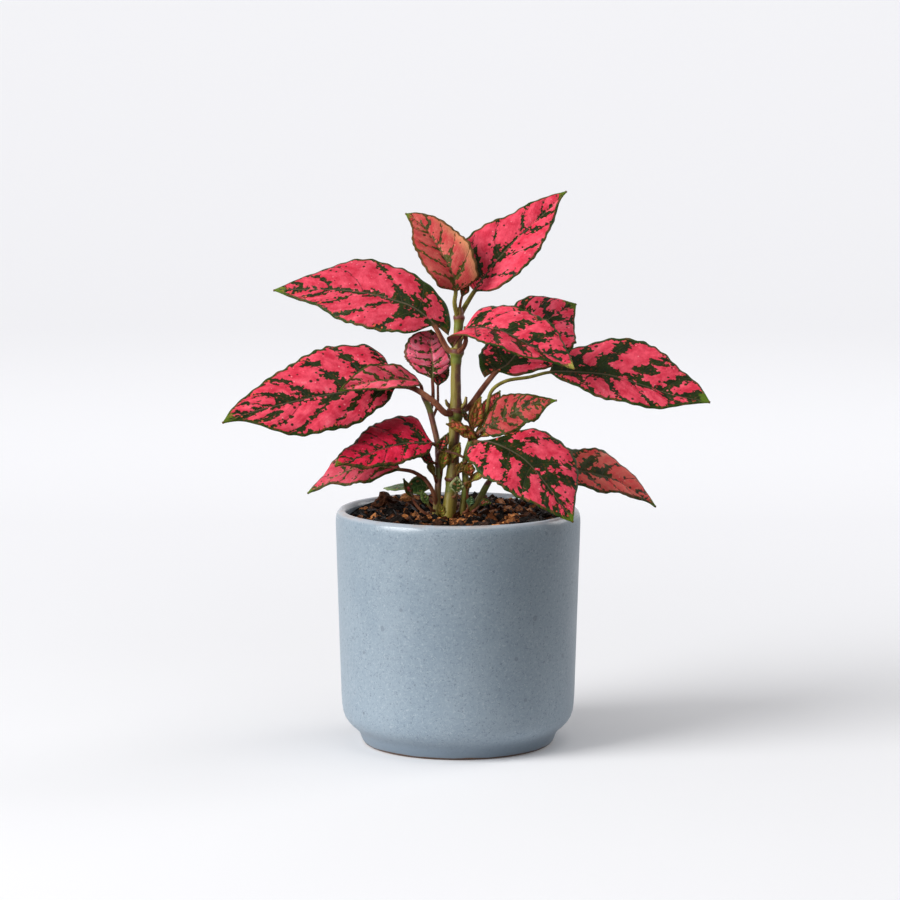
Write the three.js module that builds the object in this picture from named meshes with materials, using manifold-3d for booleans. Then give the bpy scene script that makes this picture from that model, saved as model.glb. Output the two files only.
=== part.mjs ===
// Potted polka dot plant (Hypoestes) in a plain stoneware pot.
// Millimetres, +Z up. The origin is the centre of the pot's flat underside and the viewer is at -Y.

import * as THREE from "three";
import { mergeVertices } from "three/addons/utils/BufferGeometryUtils.js";
import Module from "manifold-3d";

const wasm = await Module();
wasm.setup();

// Driving sizes
const fitGap = 0.3;
const pot = { topRadius: 55, height: 106.3, floor: 7, footRadius: 42, sides: 56 };
const soil = { bottom: 7.3, rim: 101, mound: 1.6, lump: 0.7 };
const blade = { thickness: 0.8, rows: 14, tipHalfWidth: 0.45 };
const fullLeafAcross = [1, 0.5, 0, -0.5, -1];
const smallLeafAcross = [1, 0, -1];
const smallLeafShape = [0.64, 0.95, 0.97, 0.7, 0.27];
const stemSides = 8;

// Colours and surfaces
const surface = (color, roughness) => new THREE.MeshStandardMaterial({ color, roughness, metalness: 0 });
const materials = {
  stoneware: surface(0x8ca0af, 0.55),
  soil: surface(0x2c1c14, 0.95),
  stem: surface(0x7f9446, 0.6),
  pinkLeaf: surface(0xdf4a68, 0.5),
  redLeaf: surface(0xb8253f, 0.5),
  youngLeaf: surface(0xc9776a, 0.5),
  greenLeaf: surface(0x3f5c2a, 0.5),
};

// Solids and geometries
function toSolid(geometry) {
  const bare = geometry.clone();
  bare.deleteAttribute("normal");
  bare.deleteAttribute("uv");
  const merged = mergeVertices(bare, 1e-4);
  const triVerts = new Uint32Array(merged.index.array);
  const vertProperties = new Float32Array(merged.attributes.position.array);
  return new wasm.Manifold(new wasm.Mesh({ numProp: 3, vertProperties, triVerts }));
}

function toGeometry(solid) {
  const mesh = solid.getMesh();
  const geometry = new THREE.BufferGeometry();
  geometry.setAttribute("position", new THREE.BufferAttribute(mesh.vertProperties, 3));
  geometry.setIndex(new THREE.BufferAttribute(mesh.triVerts, 1));
  geometry.computeVertexNormals();
  return geometry;
}

// Closed skin over rings of points, each ring turning from the side towards the face.
// The under half of a leaf takes the other diagonal, so both faces bend alike.
function skin(rings, topCount = 0) {
  const count = rings[0].length;
  const points = rings.flat();
  const index = [];
  for (let ring = 0; ring < rings.length - 1; ring += 1) {
    for (let i = 0; i < count; i += 1) {
      const a = ring * count + i;
      const b = ring * count + ((i + 1) % count);
      const c = a + count;
      const d = b + count;
      if (i < topCount) {
        index.push(a, c, b, b, c, d);
      } else {
        index.push(a, c, d, a, d, b);
      }
    }
  }
  for (const [ring, flip] of [[0, false], [rings.length - 1, true]]) {
    const centre = new THREE.Vector3();
    rings[ring].forEach((p) => centre.addScaledVector(p, 1 / count));
    points.push(centre);
    for (let i = 0; i < count; i += 1) {
      const a = ring * count + i;
      const b = ring * count + ((i + 1) % count);
      index.push(points.length - 1, flip ? b : a, flip ? a : b);
    }
  }
  const geometry = new THREE.BufferGeometry();
  const positions = points.flatMap((p) => [p.x, p.y, p.z]);
  geometry.setAttribute("position", new THREE.Float32BufferAttribute(positions, 3));
  geometry.setIndex(index);
  geometry.computeVertexNormals();
  return geometry;
}

// Smooth route through points, read by distance
function route(points) {
  const stepsPerSpan = 16;
  const curve = new THREE.CatmullRomCurve3(points.map((p) => new THREE.Vector3(p[0], p[1], p[2])));
  const samples = curve.getPoints(stepsPerSpan * (points.length - 1));
  const distances = [0];
  for (let i = 1; i < samples.length; i += 1) {
    distances.push(distances[i - 1] + samples[i].distanceTo(samples[i - 1]));
  }
  const length = distances[distances.length - 1];
  const pointAt = (distance) => {
    const wanted = THREE.MathUtils.clamp(distance, 0, length);
    let i = 0;
    while (i < samples.length - 2 && distances[i + 1] < wanted) {
      i += 1;
    }
    const part = (wanted - distances[i]) / (distances[i + 1] - distances[i]);
    return samples[i].clone().lerp(samples[i + 1], part);
  };
  const tangentAt = (distance) => pointAt(distance + 0.4).sub(pointAt(distance - 0.4)).normalize();
  const distanceOf = (pointNumber) => distances[pointNumber * stepsPerSpan];
  return { length, pointAt, tangentAt, distanceOf };
}

// Side and face directions along a route, turned as little as possible from one start station
function framesAlong(path, stations, start, face) {
  const tangents = stations.map((s) => path.tangentAt(s));
  const sides = [];
  sides[start] = tangents[start].clone().cross(face).normalize();
  const carry = (from, to) => {
    const lean = sides[from].dot(tangents[to]);
    sides[to] = sides[from].clone().addScaledVector(tangents[to], -lean).normalize();
  };
  for (let i = start + 1; i < stations.length; i += 1) {
    carry(i - 1, i);
  }
  for (let i = start - 1; i >= 0; i -= 1) {
    carry(i + 1, i);
  }
  return stations.map((s, i) => ({
    origin: path.pointAt(s),
    side: sides[i],
    face: sides[i].clone().cross(tangents[i]),
    along: tangents[i],
  }));
}

function place(frame, x, y, back = 0) {
  const spot = frame.origin.clone().addScaledVector(frame.side, x).addScaledVector(frame.face, y);
  return spot.addScaledVector(frame.along, -back);
}

function circleRing(frame, radius, count) {
  return Array.from({ length: count }, (_, i) => {
    const angle = (Math.PI * (2 * i + 1)) / count;
    return place(frame, radius * Math.cos(angle), radius * Math.sin(angle));
  });
}

// Round stem through [x, y, z, radius] points
function stem(points, extra = 0) {
  const path = route(points);
  const stations = [];
  const radii = [];
  points.forEach((point, i) => {
    const here = path.distanceOf(i);
    if (i > 0 && here - path.distanceOf(i - 1) > 4) {
      stations.push((here + path.distanceOf(i - 1)) / 2);
      radii.push((point[3] + points[i - 1][3]) / 2 + extra);
    }
    stations.push(here);
    radii.push(point[3] + extra);
  });
  const frames = framesAlong(path, stations, 0, new THREE.Vector3(0, -1, 0));
  if (extra > 0) {
    frames[0].origin.addScaledVector(path.tangentAt(0), -extra);
    frames[frames.length - 1].origin.addScaledVector(path.tangentAt(path.length), extra);
  }
  return skin(frames.map((frame, i) => circleRing(frame, radii[i], stemSides)));
}

// Half width along the midrib, smooth through five given widths, round at the root and thin at the tip
const widthStations = [0, 0.1, 0.3, 0.5, 0.7, 0.9, 1];

function halfWidth(widths, t) {
  const values = [Math.max(0.3 * widths[0], 1.4 * widths[0] - 0.4 * widths[1]), ...widths, 0];
  const last = widthStations.length - 1;
  const slope = (i) => {
    const low = Math.max(0, i - 1);
    const high = Math.min(last, i + 1);
    return (values[high] - values[low]) / (widthStations[high] - widthStations[low]);
  };
  let i = 0;
  while (i < last - 1 && widthStations[i + 1] < t) {
    i += 1;
  }
  const gap = widthStations[i + 1] - widthStations[i];
  const u = (t - widthStations[i]) / gap;
  const start = values[i] * (1 - u) ** 2 * (1 + 2 * u) + values[i + 1] * u * u * (3 - 2 * u);
  const bend = gap * u * (1 - u) * (slope(i) * (1 - u) - slope(i + 1) * u);
  const rootRound = Math.sqrt(1 - (1 - Math.min(1, t / 0.12)) ** 2);
  return Math.max(0, start + bend) * rootRound;
}

// Leaf with its petiole: one skin from the round root to the flat tip
function leaf(spec) {
  const path = route([...spec.petiole, ...spec.rib]);
  const bladeStart = path.distanceOf(spec.petiole.length);
  const bladeLength = path.length - bladeStart;
  const rows = spec.rows ?? blade.rows;
  const across = spec.across ?? fullLeafAcross;
  const stalkSteps = spec.petiole.length + 1;
  const stalk = Array.from({ length: stalkSteps }, (_, i) => (bladeStart * i) / stalkSteps);
  const along = Array.from({ length: rows }, (_, i) => {
    const even = i / (rows - 1);
    return (even + 0.5 - 0.5 * Math.cos(Math.PI * even)) / 2;
  });
  const stations = [...stalk, ...along.map((t) => bladeStart + t * bladeLength)];
  const face = new THREE.Vector3(...spec.face);
  const frames = framesAlong(path, stations, stalkSteps + Math.floor(rows / 2), face);
  const fold = THREE.MathUtils.degToRad(spec.fold);
  const { stalkRadius = 1.2, cup = 0.12, wave = 0.9, waves = 3, phase = 0, lobes = [0, 0] } = spec;
  const rings = frames.slice(0, stalkSteps).map((frame, i) => {
    const taper = 1.15 - (0.25 * i) / stalkSteps;
    return circleRing(frame, stalkRadius * taper, 2 * across.length);
  });
  frames.slice(stalkSteps).forEach((frame, row) => {
    const t = along[row];
    const least = THREE.MathUtils.lerp(stalkRadius * 0.9, blade.tipHalfWidth, Math.min(1, t * 4));
    const ridge = stalkRadius * 0.75 * (1 - t) ** 1.5;
    const top = across.map((v) => {
      const lobe = lobes[v > 0 ? 1 : 0];
      const rootHalf = Math.max(least, 0.3 * lobe * (1 - t * 10));
      const half = Math.max(rootHalf, halfWidth(v > 0 ? spec.right : spec.left, t));
      const back = lobe * v * v * Math.max(0, 1 - t / 0.3) ** 2;
      const ripple = wave * Math.sin(2 * Math.PI * (waves * t + phase) + 1.3 * v) * Math.sin(Math.PI * t);
      const lift = half * (Math.abs(v) * Math.sin(fold) - cup * v * v) + ripple * v * v;
      return [v * half * Math.cos(fold), lift, back];
    });
    const skinAt = ([x, y, back], rise) => place(frame, x, y + rise, back);
    const upper = top.map((spot) => skinAt(spot, blade.thickness / 2 + (spot[0] === 0 ? ridge * 0.4 : 0)));
    const lower = top.map((spot) => skinAt(spot, -blade.thickness / 2 - (spot[0] === 0 ? ridge : 0)));
    rings.push([...upper, ...lower.reverse()]);
  });
  return skin(rings, across.length);
}

// Pot: foot, neck, soft shoulder, slightly flared wall, rounded lip and hollow inside
function potSolid() {
  const outline = [
    [0, 0],
    [pot.footRadius - 0.7, 0],
    [pot.footRadius + 0.6, 0.5],
    [43.9, 2.6],
    [44.7, 5.4],
    [46.4, 7.2],
    [49, 9.3],
    [51.2, 12.2],
    [52.3, 16.5],
    [52.7, 22],
    [pot.topRadius, 100],
    [pot.topRadius - 0.1, 103],
    [pot.topRadius - 0.7, 105],
    [pot.topRadius - 1.6, 106.1],
    [pot.topRadius - 2.6, pot.height],
    [pot.topRadius - 3.9, 105.8],
    [pot.topRadius - 4.8, 104.4],
    [pot.topRadius - 5, 102],
    [47.8, 22],
    [46.2, 13],
    [42, 8.4],
    [38, pot.floor],
    [0, pot.floor],
  ];
  const lathe = new THREE.LatheGeometry(outline.map(([r, z]) => new THREE.Vector2(r, z)), pot.sides);
  lathe.rotateX(Math.PI / 2);
  return toSolid(lathe);
}

// Repeatable scatter between 0 and 1
const scatter = (n) => {
  const raw = Math.sin(n * 12.9898) * 43758.5453;
  return raw - Math.floor(raw);
};

// Soil: one lumpy fill with bark chips pressed into it
function soilSolid() {
  const wall = (z) => 47.8 + (2.2 * (z - 22)) / 80 - fitGap;
  const rings = [46, 41, 36, 31, 26, 21, 16, 11, 6];
  const outline = [[0, soil.bottom], [37.4, soil.bottom], [41.6, 8.9], [45.8, 13.3], [wall(22), 22.1]];
  outline.push([wall(soil.rim) - 0.1, soil.rim], ...rings.map((r) => [r, soil.rim]), [0, soil.rim]);
  const lathe = new THREE.LatheGeometry(outline.map(([r, z]) => new THREE.Vector2(r, z)), pot.sides);
  lathe.rotateX(Math.PI / 2);
  const position = lathe.attributes.position;
  for (let i = 0; i < position.count; i += 1) {
    const [x, y, z] = [position.getX(i), position.getY(i), position.getZ(i)];
    if (z > soil.rim - 0.01) {
      const reach = Math.min(1, Math.hypot(x, y) / 49.7);
      const lumps = Math.sin(0.43 * x + 1.1) * Math.cos(0.39 * y) + Math.sin(0.83 * x - 0.61 * y);
      position.setZ(i, z + soil.mound * (1 - reach * reach) + soil.lump * lumps * (1 - reach ** 6));
    }
  }
  let solid = toSolid(lathe);
  const chips = [{ size: [9, 7, 9], at: [-33, 25, 104], turn: [0.4, 0.5, 0.7] }];
  chips.push({ size: [9, 6, 5], at: [-28, -26, 102.5], turn: [0.3, -0.5, 0.4] });
  for (let i = 0; i < 18; i += 1) {
    const angle = 0.2 + i * 2.4;
    const radius = 27 + 15 * scatter(i + 1);
    const size = [5 + 4 * scatter(i + 20), 3 + 2 * scatter(i + 40), 2 + 2 * scatter(i + 60)];
    const at = [radius * Math.cos(angle), radius * Math.sin(angle), 102 + 0.6 * scatter(i + 80)];
    chips.push({ size, at, turn: [scatter(i + 3) - 0.5, scatter(i + 7) - 0.5, 3 * scatter(i + 9)] });
  }
  for (const chip of chips) {
    const box = new THREE.BoxGeometry(...chip.size);
    box.applyMatrix4(new THREE.Matrix4().makeRotationFromEuler(new THREE.Euler(...chip.turn)));
    box.translate(...chip.at);
    solid = solid.add(toSolid(box));
  }
  return solid;
}

// Stems: route points with their radius; twigs are fused to their stem
const stems = {
  stem_main: {
    route: [
      [-4.6, -4, 86, 3.2],
      [-4.6, -4, 101, 3.3],
      [-3.6, -3.6, 109, 3.1],
      [-2.8, -3.2, 116, 2.9],
      [-2.6, -3, 118.6, 3.1],
      [-2.5, -3, 120, 3.7],
      [-2.4, -2.8, 121.6, 3.1],
      [-2.2, -2.2, 127, 2.7],
      [-1.8, -1, 137.5, 2.5],
      [-1.3, -0.3, 145, 2.8],
      [-1.1, 0, 149, 3.7],
      [-1, 0, 151, 4],
      [-1, 0, 152.6, 2.9],
      [-1, 0, 157.5, 2.4],
      [-1, 0, 169, 2.2],
      [-0.8, 0, 174, 2.5],
      [-0.6, 0, 176.6, 3.3],
      [-0.5, 0, 178, 3.3],
      [-0.4, 0, 179.4, 2.3],
      [-0.2, 0, 184, 2],
      [0.3, 0, 189.5, 2.1],
      [0.5, 0, 192.6, 2.6],
      [0.6, 0, 194.2, 1.9],
      [0.7, 0, 197, 1.4],
    ],
    twigs: [
      [[-2, 0, 151, 1.2], [-4.6, -0.6, 153.4, 0.9], [-5.6, -0.8, 155.6, 0.5]],
      [[0, 0, 151, 1.3], [3, -1.6, 153.6, 1], [3.7, -2, 157, 0.6]],
      [[0, 0, 180.4, 1], [2.6, -0.8, 185, 0.7], [3, -1, 188.6, 0.5]],
    ],
  },
  stem_left: {
    route: [
      [-10, -4.4, 88, 1.7],
      [-10, -4.4, 102, 1.7],
      [-9.4, -3.8, 110, 1.6],
      [-8.8, -3, 119, 1.5],
      [-8.6, -2.4, 123, 1.8],
      [-8.4, -2, 126.5, 2.1],
      [-8.6, -1, 130, 1.7],
      [-9.2, 0, 136, 1.4],
      [-11, 1, 144, 1.3],
      [-13, 2, 151.5, 1.4],
      [-15, 2.6, 155.6, 1.2],
      [-16.2, 3, 158.5, 1.1],
    ],
    twigs: [[[-9, -1, 131.4, 1], [-7.4, -4.6, 133, 0.8], [-1.5, -6.4, 132.2, 0.7], [2.2, -6.2, 130.4, 0.6]]],
  },
  stem_right: {
    route: [
      [1.6, -2, 88, 1.5],
      [1.6, -2, 103, 1.6],
      [2.6, -2, 110, 1.5],
      [3.6, -2, 117.5, 1.8],
      [3.2, -2, 122, 1.5],
      [3, -2, 127, 1.3],
      [4.6, -2, 134, 1.4],
      [7, -2, 138.6, 1.9],
      [8.4, -2, 141, 1.7],
    ],
    twigs: [
      [[2, -2, 104, 1.4], [6, 0.4, 106, 1.5], [10, 2, 111, 1.6], [12.5, 3, 115.5, 1.5], [15, 4, 119.4, 1.2]],
      [[3.6, -2, 117.5, 1.3], [7, 0.4, 120.6, 1.1], [10, 2.4, 123, 0.8]],
    ],
  },
};

// Leaves: petiole points from inside the stem, midrib points to the tip, which way the blade faces, for each
// half its width at 10, 30, 50, 70 and 90 % of the blade, and how far its root lobes reach back
const leaves = {
  leaf_top_right: {
    petiole: [[0.5, 0, 191], [1.6, 1, 194.5], [4.5, 3, 199.5]],
    rib: [[7.5, 5, 204], [19, 10, 219], [32.5, 17, 232], [40.5, 21, 239], [49, 24, 247.5]],
    left: [16, 19, 14.2, 10.3, 4.8],
    right: [11, 16, 14.5, 9.7, 1.7],
    face: [-0.25, -0.77, 0.58],
    fold: 17,
    stalkRadius: 1.1,
    phase: 0.1,
  },
  leaf_top_left: {
    petiole: [[0.5, 0, 190], [-0.8, -1.6, 195], [-1.6, -2, 199.5]],
    rib: [[-1, -2, 204.5], [-2.5, -2, 212], [-5.5, 0, 218], [-10, 5, 225], [-15, 10, 232], [-23.6, 15, 238]],
    left: [9.6, 11.8, 11.6, 9, 3],
    right: [11.5, 13.5, 12.4, 8.3, 4],
    face: [0.08, -0.87, 0.49],
    fold: 23,
    stalkRadius: 1,
    material: "youngLeaf",
  },
  leaf_upper_left: {
    petiole: [[-0.6, 0, 176], [-4.5, 1, 178], [-7.5, 2, 183]],
    rib: [[-11, 3, 189], [-19.5, 6, 196], [-28, 10, 199], [-42, 16, 202], [-58, 22, 203], [-84, 32, 202]],
    left: [14, 18, 17, 10, 3.5],
    right: [12.5, 18, 20, 14.5, 5.2],
    face: [-0.14, -0.71, 0.69],
    fold: 5,
    phase: 0.3,
    lobes: [0, 8],
  },
  leaf_upper_right: {
    petiole: [[-0.4, -1, 177], [2, -5, 179], [3.5, -6.4, 183]],
    rib: [[3, -6, 187], [16, -14, 188.6], [23.5, -19, 186.2], [33, -25, 181.6], [51, -34, 173]],
    left: [15, 15.5, 16.8, 13.8, 5.4],
    right: [13, 17, 16, 9.5, 3],
    face: [-0.03, -0.49, 0.87],
    fold: 22,
    stalkRadius: 1.1,
    phase: 0.6,
    lobes: [0, 9],
  },
  leaf_back_right: {
    petiole: [[-0.5, 0.5, 150], [4.5, 4, 151.5], [10.5, 7, 159], [14, 8, 163.5]],
    rib: [[17.5, 8, 167.5], [21.5, 11, 169.5], [28, 17, 176], [41, 27, 189], [54, 35, 195.5]],
    left: [14, 17, 18.5, 17.5, 9],
    right: [7.8, 17, 19, 17.6, 6],
    face: [-0.03, -0.7, 0.72],
    fold: 5,
    stalkRadius: 1.3,
    phase: 0.2,
    lobes: [6, 0],
  },
  leaf_far_right: {
    petiole: [[8.4, -1.6, 140.4], [12.6, -0.8, 150], [15, -0.6, 159.5], [21, -2, 164], [32, -2.4, 166]],
    rib: [[41, -1, 168], [56, -3, 168], [68, -6, 167], [82, -9, 163], [95, -11, 159], [112, -14, 156]],
    left: [13, 19, 23, 17, 9],
    right: [6.2, 13, 14, 10.2, 3],
    face: [-0.01, -0.71, 0.7],
    fold: 12,
    stalkRadius: 0.8,
    phase: 0.45,
  },
  leaf_middle_right: {
    petiole: [[7.4, -2, 139.2], [8.4, -5, 140.4]],
    rib: [
      [10.5, -5.2, 142.4], [15.5, -5.4, 145.5], [23.5, -5.2, 149.3],
      [32, -6.5, 153.7], [44, -9.5, 156.4],
    ],
    left: [4, 10, 10.2, 5, 2],
    right: [6.5, 8.6, 7.8, 7.9, 1.8],
    face: [-0.41, -0.8, 0.45],
    fold: 5,
    stalkRadius: 0.8,
    phase: 0.3,
  },
  leaf_front_right: {
    petiole: [[6.8, -2, 138], [8, -5.8, 137.4]],
    rib: [
      [9, -9, 137.6], [14, -14, 138], [23.8, -22, 135],
      [30.2, -26, 131], [38.2, -32, 122.4], [50.5, -40, 106],
    ],
    left: [2.5, 16.8, 20, 16.7, 5.5],
    right: [13.7, 18.3, 17.5, 12.3, 4.5],
    face: [0.03, -0.7, 0.72],
    fold: 5,
    stalkRadius: 1,
    phase: 0.7,
    lobes: [0, 5],
  },
  leaf_low_right: {
    petiole: [[15, 4, 118.6], [19, 4.6, 122.4], [28, 4.4, 126.4]],
    rib: [[39, 5, 127], [53.5, 9, 122.5], [62.5, 13, 120], [71, 17, 117], [90.5, 25, 103.4]],
    left: [9.5, 12, 13.7, 9.3, 4.5],
    right: [6.5, 9, 9.1, 5.6, 1],
    face: [0.5, -0.64, 0.58],
    fold: 10,
    stalkRadius: 1,
    phase: 0.15,
  },
  leaf_far_left: {
    petiole: [[-1, -0.5, 150], [-5.5, -5, 150], [-11, -6, 155.5], [-21, -4, 161.5]],
    rib: [
      [-28, -3, 162], [-39, -6, 162], [-53, -12, 160],
      [-67, -18, 158], [-90, -27, 153.4], [-103.6, -33, 149.2],
    ],
    left: [11, 16.9, 18.3, 14.6, 2.5],
    right: [24.5, 26, 21, 13.8, 6],
    face: [0.16, -0.73, 0.66],
    fold: 4,
    stalkRadius: 1.3,
    phase: 0.05,
  },
  leaf_middle_left: {
    petiole: [[-16, 3, 157.6]],
    rib: [[-17, 0.4, 162.4], [-25.5, -5, 165], [-34, -10, 165.2], [-43.5, -14, 163.8], [-53, -19, 161.5]],
    left: [5, 8, 8, 6, 2],
    right: [4, 7.5, 8.3, 7, 2.5],
    face: [0.18, -0.72, 0.67],
    fold: 30,
    stalkRadius: 0.9,
    phase: 0.3,
  },
  leaf_upright: {
    petiole: [[-12.6, 1.8, 150], [-11.4, 3.6, 154], [-11.2, 4, 158]],
    rib: [[-11.5, 6, 164.5], [-11.5, 7, 173.5], [-12.5, 9, 179], [-12, 11, 186]],
    left: [7.2, 11, 12.8, 11.2, 6.7],
    right: [5.6, 8.7, 7.3, 5.5, 3.5],
    face: [0.18, -0.96, 0.23],
    fold: 10,
    stalkRadius: 0.8,
    wave: 0.5,
  },
  leaf_low_left: {
    petiole: [[-9, -0.3, 134.6], [-10.2, -3.6, 135.6]],
    rib: [[-11.5, -6, 136.5], [-23.5, -10, 137], [-34, -15, 135], [-43.5, -20, 132], [-54.5, -26, 129]],
    left: [7.5, 10.5, 10, 7.6, 1.5],
    right: [18, 18, 14.2, 9.7, 5.5],
    face: [0.13, -0.59, 0.8],
    fold: 5,
    stalkRadius: 0.9,
    phase: 0.55,
    material: "redLeaf",
  },
  leaf_lowest_left: {
    petiole: [[-9.6, -4, 108], [-10.6, -6, 113], [-14, -6.4, 119.5], [-20, -5, 123.5]],
    rib: [[-26, -4, 124.5], [-43, -2, 125.6], [-54, 1, 121], [-60, 3, 117.2], [-68, 7, 112.2]],
    left: [3.4, 9.2, 8.6, 3.2, 1],
    right: [7.3, 11.4, 11.9, 9, 3],
    face: [-0.33, -0.63, 0.7],
    fold: 5,
    stalkRadius: 0.9,
    phase: 0.2,
  },
};

const smallLeaves = {
  small_leaf_behind_shoot: {
    petiole: [[-11.6, 1.2, 146.6], [-9.2, 5.4, 152.6]],
    rib: [[-9, 8, 161], [-8, 11, 168], [-6.5, 14, 175]],
    size: 4.5,
    face: [0.1, -0.95, 0.3],
    fold: 12,
  },
  small_leaf_shoot_right: {
    petiole: [[7.4, -2, 138.6], [9.6, 1, 141.6]],
    rib: [[11, 1.4, 145], [14.5, 3.4, 151], [19, 6, 159]],
    size: 4.6,
    face: [-0.2, -0.9, 0.3],
    fold: 20,
    material: "redLeaf",
  },
  small_leaf_across: {
    petiole: [[5.4, -2, 136.4], [4.4, -6, 140.4]],
    rib: [[4, -7.8, 142.8], [0, -8.6, 144.2], [-5.4, -9.6, 145.8]],
    size: 2.8,
    face: [0, -0.8, 0.6],
    fold: 12,
    material: "redLeaf",
  },
  small_leaf_pale_edge: {
    petiole: [[7, -2, 139], [5.6, -4.2, 144]],
    rib: [[5, -5.6, 146], [3.2, -6, 149], [1.6, -6.4, 152]],
    size: 1.6,
    face: [0.5, -0.8, 0.2],
    fold: 15,
    material: "redLeaf",
  },
  small_leaf_base_green: {
    petiole: [[-9.2, -3.4, 113.4], [-11.4, -0.6, 114.6]],
    rib: [[-12.6, 0.6, 115.4], [-17, 1, 116.6], [-23, 0, 113.6]],
    size: 5,
    face: [0.1, -0.8, 0.6],
    fold: 8,
    material: "greenLeaf",
  },
  small_leaf_back_rim: {
    petiole: [[-5.4, -2.6, 104.4], [-10, 4, 107], [-15, 12, 110.6]],
    rib: [[-20, 19, 112.9], [-27, 29, 112.2], [-34, 39, 110]],
    size: 5.4,
    face: [0.1, -0.5, 0.86],
    fold: 6,
    material: "greenLeaf",
  },
  small_leaf_round_red: {
    petiole: [[-8.4, -2, 126.5], [-10.4, -4.6, 127.4]],
    rib: [[-11.4, -6.4, 128.4], [-14, -8.4, 130.4], [-17.4, -10, 132]],
    size: 3.6,
    face: [0.1, -0.75, 0.65],
    fold: 10,
    material: "redLeaf",
  },
  small_leaf_curled: {
    petiole: [[-8.6, -1.2, 129.6], [-8.6, -5.4, 131.6]],
    rib: [[-8.2, -8, 133.4], [-7.2, -9.6, 136.4], [-6, -10.4, 140.4]],
    size: 2.8,
    face: [0.1, -0.9, 0.4],
    fold: 18,
    material: "redLeaf",
  },
  small_leaf_heart: {
    petiole: [[-3, -3.4, 112.4], [-1.6, -8, 112.6]],
    rib: [[-0.8, -9.4, 114.6], [-0.5, -10.2, 118.4], [-0.4, -10.8, 122.4]],
    size: 3.4,
    face: [0, -0.9, 0.4],
    fold: 8,
    material: "greenLeaf",
  },
  small_leaf_base_pale: {
    petiole: [[1.6, -2, 104.2], [4, -6.4, 106]],
    rib: [[5, -7.6, 108.4], [5.6, -8.2, 110.6], [6, -8.6, 113]],
    size: 2.2,
    face: [0.1, -0.9, 0.4],
    fold: 6,
    material: "greenLeaf",
  },
  small_leaf_base_left: {
    petiole: [[-9.9, -4.4, 105.4], [-12, -7.4, 107]],
    rib: [[-13.4, -8.4, 109.4], [-15, -9.2, 112.6], [-16.4, -9.8, 116]],
    size: 1.9,
    face: [0.1, -0.9, 0.4],
    fold: 10,
    material: "greenLeaf",
  },
  small_leaf_narrow: {
    petiole: [[-10, -4.4, 103.4], [-14.5, -6.8, 105], [-19, -8.2, 109.4]],
    rib: [[-20.4, -8.6, 112.6], [-22.4, -9, 116.6], [-24.4, -9.4, 121.2]],
    size: 1.9,
    face: [0.2, -0.9, 0.3],
    fold: 15,
    material: "redLeaf",
  },
  small_leaf_bud: {
    petiole: [[0.6, 0, 195], [1, 0, 198.6]],
    rib: [[1.8, 0, 202], [3, 0.2, 205], [4.8, 0.6, 208.4]],
    size: 2.3,
    face: [0, -0.9, 0.4],
    fold: 15,
    material: "youngLeaf",
  },
};

for (const spec of Object.values(smallLeaves)) {
  spec.left = smallLeafShape.map((part) => part * spec.size);
  spec.right = spec.left;
  spec.rows = 8;
  spec.across = smallLeafAcross;
  spec.stalkRadius = 0.6;
  spec.wave = 0.2;
}

// Assembly
const plant = new THREE.Group();

function add(name, solid, material) {
  const mesh = new THREE.Mesh(toGeometry(solid), material);
  mesh.name = name;
  plant.add(mesh);
}

const stemSolids = {};
const stemClearances = [];
for (const [name, spec] of Object.entries(stems)) {
  let body = toSolid(stem(spec.route));
  let clearance = toSolid(stem(spec.route, fitGap));
  for (const twig of spec.twigs) {
    body = body.add(toSolid(stem(twig)));
    clearance = clearance.add(toSolid(stem(twig, fitGap)));
  }
  stemSolids[name] = body;
  stemClearances.push(clearance);
}

let soilBody = soilSolid();
for (const clearance of stemClearances) {
  soilBody = soilBody.subtract(clearance);
}

add("pot", potSolid(), materials.stoneware);
add("soil", soilBody, materials.soil);
for (const [name, solid] of Object.entries(stemSolids)) {
  add(name, solid, materials.stem);
}
for (const [name, spec] of Object.entries({ ...leaves, ...smallLeaves })) {
  let body = toSolid(leaf(spec));
  for (const clearance of stemClearances) {
    body = body.subtract(clearance);
  }
  add(name, body, materials[spec.material ?? "pinkLeaf"]);
}

export default plant;
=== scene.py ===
import bisect
import math
import bpy
import bmesh
from mathutils import Euler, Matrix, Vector, noise


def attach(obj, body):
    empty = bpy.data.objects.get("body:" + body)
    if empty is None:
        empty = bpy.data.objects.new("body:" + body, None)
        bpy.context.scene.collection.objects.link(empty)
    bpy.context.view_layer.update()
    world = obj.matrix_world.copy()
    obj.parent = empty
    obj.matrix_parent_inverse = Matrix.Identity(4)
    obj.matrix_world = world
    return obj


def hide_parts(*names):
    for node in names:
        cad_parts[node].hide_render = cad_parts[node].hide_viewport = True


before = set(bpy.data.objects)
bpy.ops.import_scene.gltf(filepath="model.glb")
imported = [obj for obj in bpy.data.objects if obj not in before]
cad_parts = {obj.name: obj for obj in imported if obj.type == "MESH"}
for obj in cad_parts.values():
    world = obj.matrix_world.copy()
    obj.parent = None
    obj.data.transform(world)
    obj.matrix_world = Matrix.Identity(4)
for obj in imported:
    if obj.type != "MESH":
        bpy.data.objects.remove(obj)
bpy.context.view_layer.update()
mm = 0.001
print("frame loaded,", len(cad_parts), "nodes")

# Camera: about 1.6 m in front, looking down 7.5 degrees
camera = {"place": (-0.0036, -1.58, 0.3394), "lookDown": 7.45, "lens": 142.0, "farEnd": 20}

lens = bpy.data.cameras.new("camera")
lens.lens = camera["lens"]
lens.clip_end = camera["farEnd"]
viewer = bpy.data.objects.new("camera", lens)
viewer.location = camera["place"]
viewer.rotation_euler = (math.radians(90 - camera["lookDown"]), 0, 0)
bpy.context.scene.collection.objects.link(viewer)
bpy.context.scene.camera = viewer


# Node tree helpers

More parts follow.
